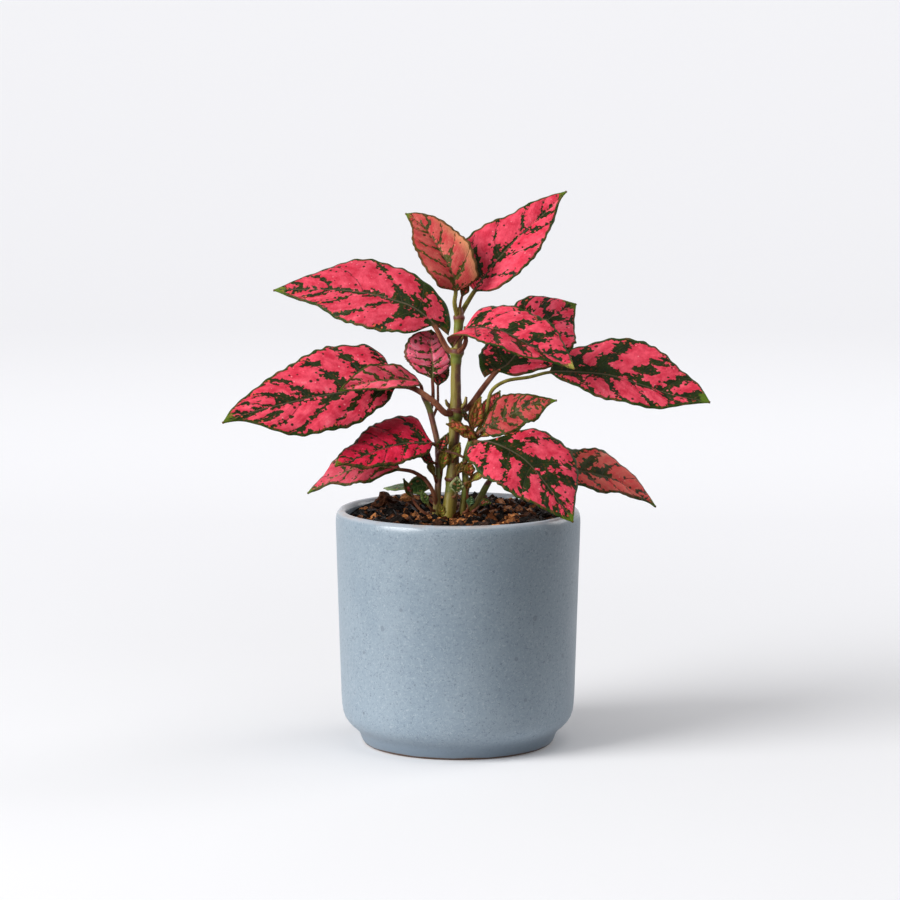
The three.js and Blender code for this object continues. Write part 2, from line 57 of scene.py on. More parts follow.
def addNode(tree, kind, inputs=None, **settings):
    made = tree.nodes.new(kind)
    for key, value in settings.items():
        setattr(made, key, value)
    for key, value in (inputs or {}).items():
        if isinstance(value, bpy.types.NodeSocket):
            tree.links.new(value, made.inputs[key])
        else:
            made.inputs[key].default_value = value
    return made


def calc(tree, operation, *values, clamp=False):
    made = addNode(tree, "ShaderNodeMath", dict(enumerate(values)), operation=operation, use_clamp=clamp)
    return made.outputs[0]


def times(tree, first, second):
    return calc(tree, "MULTIPLY", first, second)


def plus(tree, first, second):
    return calc(tree, "ADD", first, second)


def minus(tree, first, second):
    return calc(tree, "SUBTRACT", first, second)


def centred(tree, value):  # noise that runs from 0 to 1, brought round 0
    return minus(tree, value, 0.5)


def vectorCalc(tree, operation, *values):
    return addNode(tree, "ShaderNodeVectorMath", dict(enumerate(values)), operation=operation).outputs[0]


def fade(tree, value, low, high, toLow=0.0, toHigh=1.0):  # smooth step between two values
    span = {"Value": value, "From Min": low, "From Max": high, "To Min": toLow, "To Max": toHigh}
    return addNode(tree, "ShaderNodeMapRange", span, interpolation_type="SMOOTHSTEP").outputs[0]


def mixNumber(tree, factor, first, second):
    return addNode(tree, "ShaderNodeMix", {0: factor, 2: first, 3: second}, data_type="FLOAT").outputs[0]


def mixColour(tree, factor, first, second):
    made = addNode(tree, "ShaderNodeMix", {0: factor}, data_type="RGBA")
    for key, value in ((6, first), (7, second)):
        if isinstance(value, bpy.types.NodeSocket):
            tree.links.new(value, made.inputs[key])
        else:
            made.inputs[key].default_value = (*value, 1)
    return made.outputs[2]


def tinted(tree, colour, mask, share, tint):  # a share of the tint laid over the colour where the mask is
    return mixColour(tree, times(tree, mask, share), colour, tint)


def split(tree, vector):
    return addNode(tree, "ShaderNodeSeparateXYZ", {0: vector}).outputs


def join(tree, x, y, z):
    return addNode(tree, "ShaderNodeCombineXYZ", {0: x, 1: y, 2: z}).outputs[0]


def objectPlace(tree):
    return addNode(tree, "ShaderNodeTexCoord").outputs["Object"]


def noiseAt(tree, vector, scale, detail=2.0, roughness=0.5, output=0):
    settings = {"Vector": vector, "Scale": scale, "Detail": detail, "Roughness": roughness}
    return addNode(tree, "ShaderNodeTexNoise", settings).outputs[output]


def cellsAt(tree, vector, scale, **settings):
    return addNode(tree, "ShaderNodeTexVoronoi", {"Vector": vector, "Scale": scale}, **settings).outputs


def shake(tree, vector, scale, roughness=0.5):  # noise colours as a direction round 0
    cloud = noiseAt(tree, vector, scale, 2.0, roughness, output=1)
    return vectorCalc(tree, "SUBTRACT", cloud, (0.5, 0.5, 0.5))


def scaled(tree, vector, factor):
    return addNode(tree, "ShaderNodeVectorMath", {0: vector, "Scale": factor}, operation="SCALE").outputs[0]


def makeGroup(name, inputs, outputs):
    group = bpy.data.node_groups.new(name, "ShaderNodeTree")
    for label, default in inputs.items():  # an input without a default takes a vector
        kind = "NodeSocketVector" if default is None else "NodeSocketFloat"
        socket = group.interface.new_socket(name=label, in_out="INPUT", socket_type=kind)
        if default is not None:
            socket.default_value = default
    for label in outputs:
        group.interface.new_socket(name=label, in_out="OUTPUT", socket_type="NodeSocketFloat")
    given = group.nodes.new("NodeGroupInput").outputs
    result = group.nodes.new("NodeGroupOutput").inputs
    return group, given, result


def useGroup(tree, group, inputs):
    return addNode(tree, "ShaderNodeGroup", inputs, node_tree=group).outputs


def makeMaterial(name):
    material = bpy.data.materials.new(name)
    material.use_nodes = True
    return material, material.node_tree, material.node_tree.nodes["Principled BSDF"].inputs


def attribute(tree, name, output="Fac"):
    return addNode(tree, "ShaderNodeAttribute", attribute_name=name).outputs[output]


def addBump(tree, height, strength, distance):
    settings = {"Height": height, "Strength": strength, "Distance": distance}
    return addNode(tree, "ShaderNodeBump", settings).outputs[0]


def paint(*screen):  # screen values of 0 to 255 as linear light
    return tuple(c / 255 / 12.92 if c < 11 else ((c / 255 + 0.055) / 1.055) ** 2.4 for c in screen)


# Geometry tree helpers

def makeTree(name, inputs):
    tree = bpy.data.node_groups.new(name, "GeometryNodeTree")
    tree.interface.new_socket(name="Geometry", in_out="INPUT", socket_type="NodeSocketGeometry")
    for label, kind in inputs.items():
        tree.interface.new_socket(name=label, in_out="INPUT", socket_type="NodeSocket" + kind)
    tree.interface.new_socket(name="Geometry", in_out="OUTPUT", socket_type="NodeSocketGeometry")
    return tree, tree.nodes.new("NodeGroupInput").outputs


def pushed(tree, geometry, offset):
    return addNode(tree, "GeometryNodeSetPosition", {"Geometry": geometry, "Offset": offset}).outputs[0]


def endTree(tree, given, geometry):  # every tree ends in real geometry with its material
    real = addNode(tree, "GeometryNodeRealizeInstances", {0: geometry}).outputs[0]
    coat = {"Geometry": real, "Material": given["Material"]}
    coated = addNode(tree, "GeometryNodeSetMaterial", coat).outputs[0]
    tree.links.new(coated, tree.nodes.new("NodeGroupOutput").inputs[0])


def growMesh(name, data, tree, values):
    source = bpy.data.objects.new(name + "Source", data)
    bpy.context.scene.collection.objects.link(source)
    modifier = source.modifiers.new(tree.name, "NODES")
    modifier.node_group = tree
    for socket in tree.interface.items_tree:
        if socket.in_out == "INPUT" and socket.name in values:
            modifier[socket.identifier] = values[socket.name]
    graph = bpy.context.evaluated_depsgraph_get()
    evaluated = source.evaluated_get(graph)
    mesh = bpy.data.meshes.new_from_object(evaluated, preserve_all_data_layers=True, depsgraph=graph)
    mesh.name = name
    source.modifiers.clear()
    bpy.data.objects.remove(source)
    return mesh


def addPiece(name, mesh, nodes=()):
    piece = bpy.data.objects.new(name, mesh)
    bpy.context.scene.collection.objects.link(piece)
    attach(piece, "root")
    if nodes:
        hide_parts(*nodes)
    return piece


def smoothMesh(name, points, faces):
    mesh = bpy.data.meshes.new(name)
    mesh.from_pydata([(p[0] * mm, p[1] * mm, p[2] * mm) for p in points], [], faces)
    mesh.polygons.foreach_set("use_smooth", [True] * len(mesh.polygons))
    return mesh


def ringFaces(rings, count):  # the quads between rings of points
    faces = []
    for first in range(0, (rings - 1) * count, count):
        for k in range(count):
            a, b = first + k, first + (k + 1) % count
            faces.append((a, a + count, b + count, b))
    return faces


def polyCurve(name, splines):  # each spline is a list of (place, radius) in millimetres
    curve = bpy.data.curves.new(name, "CURVE")
    curve.dimensions = "3D"
    for points in splines:
        spline = curve.splines.new("POLY")
        spline.points.add(len(points) - 1)
        for target, (place, radius) in zip(spline.points, points):
            target.co = (*(Vector(place) * mm), 1)
            target.radius = radius * mm
    return curve


# Routes: one smooth curve through given points, read by distance from its start

def makeRoute(points, stepsPerSpan=16):
    inner = [Vector(p[:3]) for p in points]
    ends = [inner[0] * 2 - inner[1], *inner, inner[-1] * 2 - inner[-2]]
    samples = []
    for i in range(len(inner) - 1):
        a, b, c, d = ends[i:i + 4]
        ab, bc, cd = [max((q - p).length ** 0.5, 1e-4) for p, q in ((a, b), (b, c), (c, d))]
        leave = ((b - a) / ab - (c - a) / (ab + bc) + (c - b) / bc) * bc
        arrive = ((c - b) / bc - (d - b) / (bc + cd) + (d - c) / cd) * bc
        for step in range(stepsPerSpan):
            u = step / stepsPerSpan
            bend = (c - b) * 3 - leave * 2 - arrive
            twist = (b - c) * 2 + leave + arrive
            samples.append(b + leave * u + bend * u * u + twist * u ** 3)
    samples.append(inner[-1])
    distances = [0.0]
    for p, q in zip(samples, samples[1:]):
        distances.append(distances[-1] + (q - p).length)
    return {"samples": samples, "distances": distances, "steps": stepsPerSpan, "length": distances[-1]}


def pointAt(route, distance):
    wanted = min(max(distance, 0), route["length"])
    distances = route["distances"]
    i = min(max(bisect.bisect_left(distances, wanted) - 1, 0), len(distances) - 2)
    part = (wanted - distances[i]) / (distances[i + 1] - distances[i])
    return route["samples"][i].lerp(route["samples"][i + 1], part)


def tangentAt(route, distance, near=0.4):  # from two points this near, in millimetres
    return (pointAt(route, distance + near) - pointAt(route, distance - near)).normalized()


def distanceOf(route, pointNumber):
    return route["distances"][pointNumber * route["steps"]]


def framesAlong(route, stations, start, face):  # side and face directions, turned as little as possible
    tangents = [tangentAt(route, s) for s in stations]
    sides = [None] * len(stations)
    sides[start] = tangents[start].cross(Vector(face)).normalized()
    for order in (range(start + 1, len(stations)), range(start - 1, -1, -1)):
        last = start
        for i in order:
            sides[i] = (sides[last] - tangents[i] * sides[last].dot(tangents[i])).normalized()
            last = i
    return [(pointAt(route, s), side, side.cross(tangent), tangent)
            for s, side, tangent in zip(stations, sides, tangents)]


def smoothStep(value, low, high):
    part = min(max((value - low) / (high - low), 0), 1)
    return part * part * (3 - 2 * part)


# Pot: turned from its outline, with the slight wobble of hand throwing

pot = {
    "outline": [
        (0, 0), (20, 0), (38, 0), (40.6, 0), (41.7, 0.1), (42.6, 0.6), (43.3, 1.5), (43.9, 2.8), (44.4, 4.3),
        (45.1, 5.7), (46.5, 7.2), (48.3, 8.7), (49.9, 10.4), (51.2, 12.4), (52, 14.8), (52.4, 17.6),
        (52.7, 22), (53.1, 35), (53.8, 58), (54.5, 82), (54.9, 96), (55, 100), (54.95, 102.4), (54.7, 104),
        (54.2, 105.2), (53.5, 105.9), (52.6, 106.3), (51.7, 106.2), (50.9, 105.7), (50.35, 104.8),
        (50.05, 103.4), (49.9, 101), (49.4, 80), (48.6, 50), (47.8, 22), (46.2, 13), (42, 8.6), (38, 7.2),
        (30, 7), (0, 7),
    ],
    "segments": 176,
    "wobble": 0.16,
    "standing": (4, 30),  # the wobble grows between these heights
    "roughness": {"wall": 0.44, "lip": 0.2, "bare": 0.85},
    "grain": {"scale": 900, "light": 0.7, "relief": 0.22, "depth": 0.2},
    "hairs": ((0.0, "hairLight", 0.34), (7.0, "hairDark", 0.6)),  # step aside, colour, share
    "specks": {"fine": (1.5, 0.35, 0.34), "large": (4.2, 0.12, 0.3)},  # size, how many, share
    "footShadeHeights": (2, 12.5),  # painted shade: the glaze is darkened towards the foot over these heights, in millimetres
    "lipHighlightFrom": (104.2, 105.8),
    "wearFrom": (104.8, 106.2),
    "glossFrom": (102.5, 105),
    "wear": 0.55,
    "bareEdge": (0.4, 1.2),  # lowest height and unevenness of the glaze's lower edge
    "glaze": paint(142, 157, 169),
    "glazeLight": paint(156, 170, 181),
    "glazeDark": paint(135, 151, 164),
    "fleck": paint(62, 72, 84),
    "hairLight": paint(196, 206, 212),
    "hairDark": paint(92, 108, 124),
    # painted highlight: the pale grey laid over the lip's top
    "lip": paint(172, 178, 186),
    "lipWear": paint(168, 148, 132),
    "clay": paint(92, 70, 56),
    "paintedFootShade": paint(108, 122, 135),
}


def turnedPotTree():
    tree, given = makeTree("turnedPot", {"Segments": "Int", "Wobble": "Float", "Material": "Material"})
    profile = {0: given["Geometry"]}
    rows = addNode(tree, "GeometryNodeAttributeDomainSize", profile, component="CURVE").outputs[0]
    across = plus(tree, given["Segments"], 1)
    grid = addNode(tree, "GeometryNodeMeshGrid", {"Vertices X": across, "Vertices Y": rows})
    u, v, _ = split(tree, grid.outputs["UV Map"])
    row = calc(tree, "ROUND", times(tree, v, minus(tree, rows, 1)))
    where = addNode(tree, "GeometryNodeInputPosition").outputs[0]
    sample = {"Geometry": given["Geometry"], "Value": where, "Index": row}
    found = addNode(tree, "GeometryNodeSampleIndex", sample, data_type="FLOAT_VECTOR").outputs[0]
    radius, _, height = split(tree, found)
    angle = times(tree, u, -2 * math.pi)
    cosine, sine = calc(tree, "COSINE", angle), calc(tree, "SINE", angle)
    ring = join(tree, cosine, sine, times(tree, height, 24))
    push = times(tree, centred(tree, noiseAt(tree, ring, 1.1)), given["Wobble"])
    standing = fade(tree, height, *(z * mm for z in pot["standing"]))
    grown = plus(tree, radius, times(tree, push, standing))
    place = join(tree, times(tree, grown, cosine), times(tree, grown, sine), height)
    placed = {"Geometry": grid.outputs["Mesh"], "Position": place}
    turned = addNode(tree, "GeometryNodeSetPosition", placed).outputs[0]
    joined = {"Geometry": turned, "Distance": 0.01 * mm}
    closed = addNode(tree, "GeometryNodeMergeByDistance", joined).outputs[0]
    endTree(tree, given, addNode(tree, "GeometryNodeSetShadeSmooth", {"Geometry": closed}).outputs[0])
    return tree


def specksGroup():  # small round specks of uneven size
    tree, given, result = makeGroup("specks", {"Place": None, "Size": 1.0, "Share": 0.5}, ["Mask"])
    scale = calc(tree, "DIVIDE", 1000, given["Size"])
    cells = cellsAt(tree, given["Place"], scale)
    luck, size, _ = addNode(tree, "ShaderNodeSeparateColor", {0: cells["Color"]}).outputs
    radius = calc(tree, "MULTIPLY_ADD", size, 0.22, 0.08)
    disc = fade(tree, minus(tree, cells["Distance"], radius), -0.06, 0.06, 1.0, 0.0)
    chosen = calc(tree, "LESS_THAN", luck, given["Share"])
    tree.links.new(times(tree, disc, chosen), result["Mask"])
    return tree


def potMaterial(specks):
    material, tree, shader = makeMaterial("stonewareGlaze")
    place = objectPlace(tree)
    height = split(tree, place)[2]

    def between(heights, toLow=0.0, toHigh=1.0):
        return fade(tree, height, heights[0] * mm, heights[1] * mm, toLow, toHigh)

    cloud = fade(tree, noiseAt(tree, place, 42, 3.0, 0.55), 0.36, 0.66)
    grain = noiseAt(tree, place, pot["grain"]["scale"], 4.0, 0.7)
    colour = mixColour(tree, cloud, pot["glazeDark"], pot["glaze"])
    light = fade(tree, grain, 0.46, 0.72, 0.0, pot["grain"]["light"])
    colour = mixColour(tree, light, colour, pot["glazeLight"])
    for step, tint, share in pot["hairs"]:
        moved = vectorCalc(tree, "ADD", place, (step, step, step))
        contour = calc(tree, "ABSOLUTE", centred(tree, noiseAt(tree, moved, 640, 1.0, 0.4)))
        patch = fade(tree, noiseAt(tree, moved, 520, 0.0), 0.44, 0.54)
        hair = times(tree, fade(tree, contour, 0.004, 0.026, 1.0, 0.0), patch)
        colour = tinted(tree, colour, hair, share, pot[tint])
    shares = []
    for size, many, share in pot["specks"].values():
        found = useGroup(tree, specks, {"Place": place, "Size": size, "Share": many})[0]
        shares.append(times(tree, found, share))
    spots = calc(tree, "ADD", *shares, clamp=True)
    colour = mixColour(tree, spots, colour, pot["fleck"])
    # painted shade: the glaze darkens towards the foot over the heights given
    colour = mixColour(tree, between(pot["footShadeHeights"], 0.9, 0.0), colour, pot["paintedFootShade"])
    # painted highlight: the lip's top is lightened towards a pale grey
    colour = mixColour(tree, between(pot["lipHighlightFrom"], 0.0, 0.75), colour, pot["lip"])
    worn = times(tree, between(pot["wearFrom"]), fade(tree, noiseAt(tree, place, 120, 4.0), 0.46, 0.66))
    colour = tinted(tree, colour, worn, pot["wear"], pot["lipWear"])
    lowest, uneven = (z * mm for z in pot["bareEdge"])
    edge = calc(tree, "MULTIPLY_ADD", noiseAt(tree, place, 90), uneven, lowest)
    bare = fade(tree, minus(tree, height, edge), -0.2 * mm, 0.3 * mm, 1.0, 0.0)
    tree.links.new(mixColour(tree, bare, colour, pot["clay"]), shader["Base Color"])
    rough = pot["roughness"]
    gloss = mixNumber(tree, between(pot["glossFrom"]), rough["wall"], rough["lip"])
    gloss = plus(tree, gloss, times(tree, centred(tree, cloud), 0.1))
    tree.links.new(mixNumber(tree, bare, gloss, rough["bare"]), shader["Roughness"])
    relief = minus(tree, times(tree, grain, 0.5), times(tree, spots, 0.6))
    bump = addBump(tree, relief, pot["grain"]["relief"], pot["grain"]["depth"] * mm)
    tree.links.new(bump, shader["Normal"])
    return material


glaze = potMaterial(specksGroup())
outline = polyCurve("potOutline", [[((r, 0, z), 1) for r, z in pot["outline"]]])
potValues = {"Segments": pot["segments"], "Wobble": pot["wobble"] * 2 * mm, "Material": glaze}
glazed = growMesh("pot_glazed", outline, turnedPotTree(), potValues)
addPiece("pot_glazed", glazed, ["pot"])
print("pot turned")


# Soil: dark mix with bark, round grains and a few white bits

soil = {
    "bottom": 7.3,
    "top": 101.0,
    "radius": 49.6,
    "reach": 49.7,
    "foot": [(37.4, 7.3), (41.6, 8.9), (45.8, 13.3)],  # radius and height inside the pot's foot
    "wall": {"radius": 47.5, "from": 22, "growth": 2.2 / 80, "heights": [(22, 22.1), (60, 60), (95, 95)]},
    "bedRings": 24,
    "bedSegments": 72,
    "mound": 1.6,
    "lump": 0.7,
    "crumb": 0.55,
    "crumbSize": 2.6,
    "backRise": 3.0,
    "backFrom": (4, 42),
    "leftRise": 1.3,
    "leftFrom": (14, 40),
    "rings": 46,
    "segments": 132,
    "dark": paint(7, 5, 4),
    "light": paint(26, 16, 10),
    "specular": 0.05,
    "relief": (0.9, 1.2),  # strength, depth in millimetres
}


def soilHeight(x, y):
    reach = min(1, math.hypot(x, y) / soil["reach"])
    lumps = math.sin(0.43 * x + 1.1) * math.cos(0.39 * y) + math.sin(0.83 * x - 0.61 * y)
    crumbs = noise.turbulence(Vector((x, y, 3)) / soil["crumbSize"], 3, False) - 0.6
    calm = 1 - reach ** 6
    back = soil["backRise"] * smoothStep(y, *soil["backFrom"])
    left = soil["leftRise"] * smoothStep(-x, *soil["leftFrom"])
    middle = soil["top"] + soil["mound"] * (1 - reach * reach)
    return middle + back + left + (soil["lump"] * lumps + soil["crumb"] * crumbs) * calm


def soilMesh():
    count, wall = soil["segments"], soil["wall"]
    rings = list(soil["foot"])
    rings += [(wall["radius"] + wall["growth"] * (at - wall["from"]), z) for at, z in wall["heights"]]
    rings += [(soil["radius"] * (1 - i / soil["rings"]), None) for i in range(soil["rings"])]
    points = [(0, 0, soil["bottom"])]
    for radius, z in rings:
        for k in range(count):
            angle = 2 * math.pi * k / count
            x, y = radius * math.cos(angle), radius * math.sin(angle)
            points.append((x, y, soilHeight(x, y) if z is None else z))
    points.append((0, 0, soilHeight(0, 0)))
    last = len(points) - 1
    faces = []
    for k in range(count):
        n = (k + 1) % count
        faces.append((0, n + 1, k + 1))
        for ring in range(len(rings) - 1):
            a, b = 1 + ring * count + k, 1 + ring * count + n
            faces.append((a, b, b + count, a + count))
        faces.append((last - count + k, last - count + n, last))
    return smoothMesh("soil_mix", points, faces)


def soilMaterial():
    material, tree, shader = makeMaterial("pottingSoil")
    place = objectPlace(tree)
    crumbs = noiseAt(tree, place, 520, 5.0, 0.65)
    patches = noiseAt(tree, place, 150, 3.0)
    tone = fade(tree, times(tree, crumbs, plus(tree, patches, 0.5)), 0.42, 0.72)
    tree.links.new(mixColour(tree, tone, soil["dark"], soil["light"]), shader["Base Color"])
    tree.links.new(fade(tree, crumbs, 0.3, 0.7, 0.95, 0.7), shader["Roughness"])
    shader["Specular IOR Level"].default_value = soil["specular"]
    strength, depth = soil["relief"]
    tree.links.new(addBump(tree, crumbs, strength, depth * mm), shader["Normal"])
    return material


chipLook = {"stretch": (1.0, 1.0, 2.6), "scale": 640, "specular": 0.09, "relief": 0.8, "depth": 0.8}


def chipMaterial(name, dark, light, bright, roughness):  # each chip has a tone of its own, by its luck
    material, tree, shader = makeMaterial(name)
    place = vectorCalc(tree, "MULTIPLY", objectPlace(tree), chipLook["stretch"])
    grain = noiseAt(tree, place, chipLook["scale"], 4.0, 0.6)
    tone = calc(tree, "MULTIPLY_ADD", grain, 0.5, times(tree, attribute(tree, "luck"), 0.7))
    colour = mixColour(tree, fade(tree, tone, 0.48, 0.95), dark, light)
    colour = mixColour(tree, fade(tree, tone, 0.8, 1.0), colour, bright)
    tree.links.new(colour, shader["Base Color"])
    tree.links.new(fade(tree, grain, 0.3, 0.7, roughness + 0.12, roughness - 0.08), shader["Roughness"])
    shader["Specular IOR Level"].default_value = chipLook["specular"]
    bump = addBump(tree, grain, chipLook["relief"], chipLook["depth"] * mm)
    tree.links.new(bump, shader["Normal"])
    return material


def scatterTree():  # rough lumps spread over the soil's top
    numbers = ("Density", "Smallest", "Largest", "Flatness", "Roughness", "Sink")
    kinds = {**dict.fromkeys(numbers, "Float"), "Corners": "Int", "Seed": "Int", "Angular": "Bool",
             "Material": "Material"}
    tree, given = makeTree("potScatter", kinds)
    spread = {"Mesh": given["Geometry"], "Density": given["Density"], "Seed": given["Seed"]}
    points = addNode(tree, "GeometryNodeDistributePointsOnFaces", spread).outputs[0]
    box = {"Size": (1, 1, 1), "Vertices X": given["Corners"], "Vertices Y": 3, "Vertices Z": 3}
    cube = addNode(tree, "GeometryNodeMeshCube", box).outputs[0]
    ball = addNode(tree, "GeometryNodeMeshIcoSphere", {"Radius": 0.5, "Subdivisions": 2}).outputs[0]
    shape = {"Switch": given["Angular"], "False": ball, "True": cube}
    stock = addNode(tree, "GeometryNodeSwitch", shape, input_type="GEOMETRY").outputs[0]

    def randomNumber(low, high, shift):
        seed = plus(tree, given["Seed"], shift)
        drawn = addNode(tree, "FunctionNodeRandomValue", {2: low, 3: high, "Seed": seed}, data_type="FLOAT")
        return drawn.outputs[1]

    size = randomNumber(given["Smallest"], given["Largest"], 11)
    wide = times(tree, size, randomNumber(0.45, 0.85, 12))
    thick = times(tree, size, times(tree, given["Flatness"], randomNumber(0.7, 1.3, 13)))
    turn = join(tree, *(randomNumber(*span) for span in ((-0.7, 0.7, 14), (-0.7, 0.7, 15), (0.0, 6.28, 16))))
    settings = {"Points": points, "Instance": stock, "Rotation": turn, "Scale": join(tree, size, wide, thick)}
    laid = addNode(tree, "GeometryNodeInstanceOnPoints", settings).outputs[0]
    sunk = join(tree, 0.0, 0.0, times(tree, thick, given["Sink"]))
    settings = {"Instances": laid, "Translation": sunk, "Local Space": False}
    lowered = addNode(tree, "GeometryNodeTranslateInstances", settings).outputs[0]
    named = {"Geometry": lowered, "Name": "luck", "Value": randomNumber(0.0, 1.0, 17)}
    marked = addNode(tree, "GeometryNodeStoreNamedAttribute", named, data_type="FLOAT", domain="INSTANCE")
    real = addNode(tree, "GeometryNodeRealizeInstances", {0: marked.outputs[0]}).outputs[0]
    where = addNode(tree, "GeometryNodeInputPosition").outputs[0]
    rough = pushed(tree, real, scaled(tree, shake(tree, where, 420, 0.6), given["Roughness"]))
    flat = minus(tree, 1, given["Angular"])
    shaded = addNode(tree, "GeometryNodeSetShadeSmooth", {"Geometry": rough, "Shade Smooth": flat}).outputs[0]
    endTree(tree, given, shaded)
    return tree


def scatterBed(reach):  # the soil's top again, kept clear of the pot's wall
    rings, count = soil["bedRings"], soil["bedSegments"]
    points = [(0, 0, soilHeight(0, 0))]
    faces = []
    for ring in range(1, rings + 1):
        for k in range(count):
            angle = 2 * math.pi * k / count
            radius = reach * ring / rings
            x, y = radius * math.cos(angle), radius * math.sin(angle)
            points.append((x, y, soilHeight(x, y)))
            a, b = 1 + (ring - 1) * count + k, 1 + (ring - 1) * count + (k + 1) % count
            if ring == 1:
                faces.append((0, a, b))
            else:
                faces.append((a - count, a, b, b - count))
    return smoothMesh("scatterBed", points, faces)


scatters = {
    "bark_chips": {"Density": 112000.0, "Smallest": 1.5, "Largest": 5.0, "Flatness": 0.62, "Roughness": 2.0,
                   "Corners": 4, "Sink": 0.12, "Seed": 4, "Angular": True, "reach": 45.8,
                   "colours": (paint(12, 7, 4), paint(96, 52, 25), paint(206, 136, 80)), "roughness": 0.45},
    "soil_grains": {"Density": 125000.0, "Smallest": 0.7, "Largest": 2.3, "Flatness": 0.72, "Roughness": 0.7,
                    "Corners": 3, "Sink": 0.1, "Seed": 9, "Angular": False, "reach": 47.5,
                    "colours": (paint(6, 4, 3), paint(22, 13, 8), paint(84, 50, 28)), "roughness": 0.5},
    "white_grit": {"Density": 6000.0, "Smallest": 0.6, "Largest": 1.7, "Flatness": 0.8, "Roughness": 0.6,
                   "Corners": 3, "Sink": 0.45, "Seed": 23, "Angular": False, "reach": 46.0,
                   "colours": (paint(190, 182, 170), paint(228, 224, 216), paint(246, 244, 240)),
                   "roughness": 0.7},
}

earth = soilMesh()
earth.materials.append(soilMaterial())
addPiece("soil_mix", earth, ["soil"])
scattering = scatterTree()
for name, spec in scatters.items():
    values = dict(spec)
    for key in ("Smallest", "Largest", "Roughness"):
        values[key] = spec[key] * mm
    values["Material"] = chipMaterial(name, *spec["colours"], spec["roughness"])
    lumps = growMesh(name, scatterBed(spec["reach"]), scattering, values)
    addPiece(name, lumps)
    print(name, len(lumps.polygons), "faces")


# Larger bark pieces, where the part's source has them too

bark = {
    "placed": [((9, 7, 9), (-33, 25, 104), (0.4, 0.5, 0.7)),  # size, place and turn of the two that stand up
               ((9, 6, 5), (-28, -26, 102.5), (0.3, -0.5, 0.4))],
    "count": 18,
    "firstAngle": 0.2,
    "angleStep": 2.4,
    "ring": (27, 15),  # least value and how far it varies, here and below
    "sizes": ((5, 4), (3, 2), (2, 2)),
    "height": (102, 0.6),
    "cuts": 6,
    "rounding": 0.35,
    "roundTo": 0.62,
    "layers": 0.14,
    "lumps": 0.26,
    "colours": (paint(16, 9, 5), paint(86, 47, 24), paint(168, 106, 60)),
    "roughness": 0.6,
}


def repeatable(n):  # a number from 0 to 1 that is always the same for n
    raw = math.sin(n * 12.9898) * 43758.5453
    return raw - math.floor(raw)


def varied(span, n):
    return span[0] + span[1] * repeatable(n)


def barkPieces():
    chips = list(bark["placed"])
    for i in range(bark["count"]):
        angle, radius = bark["firstAngle"] + i * bark["angleStep"], varied(bark["ring"], i + 1)
        size = [varied(span, i + 20 * (k + 1)) for k, span in enumerate(bark["sizes"])]
        place = (radius * math.cos(angle), radius * math.sin(angle), varied(bark["height"], i + 80))
        chips.append((size, place, (varied((-0.5, 1), i + 3), varied((-0.5, 1), i + 7),
                                    varied((0, 3), i + 9))))
    form = bmesh.new()
    lucky = form.verts.layers.float.new("luck")
    for number, (size, place, turn) in enumerate(chips):
        known = len(form.verts)
        made = bmesh.ops.create_cube(form, size=1)["verts"]
        edges = list({e for v in made for e in v.link_edges})
        bmesh.ops.subdivide_edges(form, edges=edges, cuts=bark["cuts"], use_grid_fill=True)
        form.verts.ensure_lookup_table()
        turned = Euler(turn).to_matrix()
        for v in form.verts[known:]:
            unit = v.co.copy()
            rounded = unit.lerp(unit.normalized() * bark["roundTo"], bark["rounding"])
            layer = noise.noise(Vector((unit.x * 3, unit.y * 9, unit.z * 14 + number * 7)))
            lump = noise.noise(unit * 4 + Vector((number, 0, 0)))
            local = rounded * (1 + layer * bark["layers"] + lump * bark["lumps"])
            v.co = (turned @ Vector(local[i] * size[i] for i in range(3)) + Vector(place)) * mm
            v[lucky] = repeatable(number + 31)
    mesh = bpy.data.meshes.new("bark_pieces")
    form.normal_update()
    form.to_mesh(mesh)
    form.free()
    return mesh


barkMesh = barkPieces()
barkMesh.materials.append(chipMaterial("barkWood", *bark["colours"], bark["roughness"]))
addPiece("bark_pieces", barkMesh)
print("soil filled")


# Stems: round tubes that swell at each node, with their twigs and cut stubs

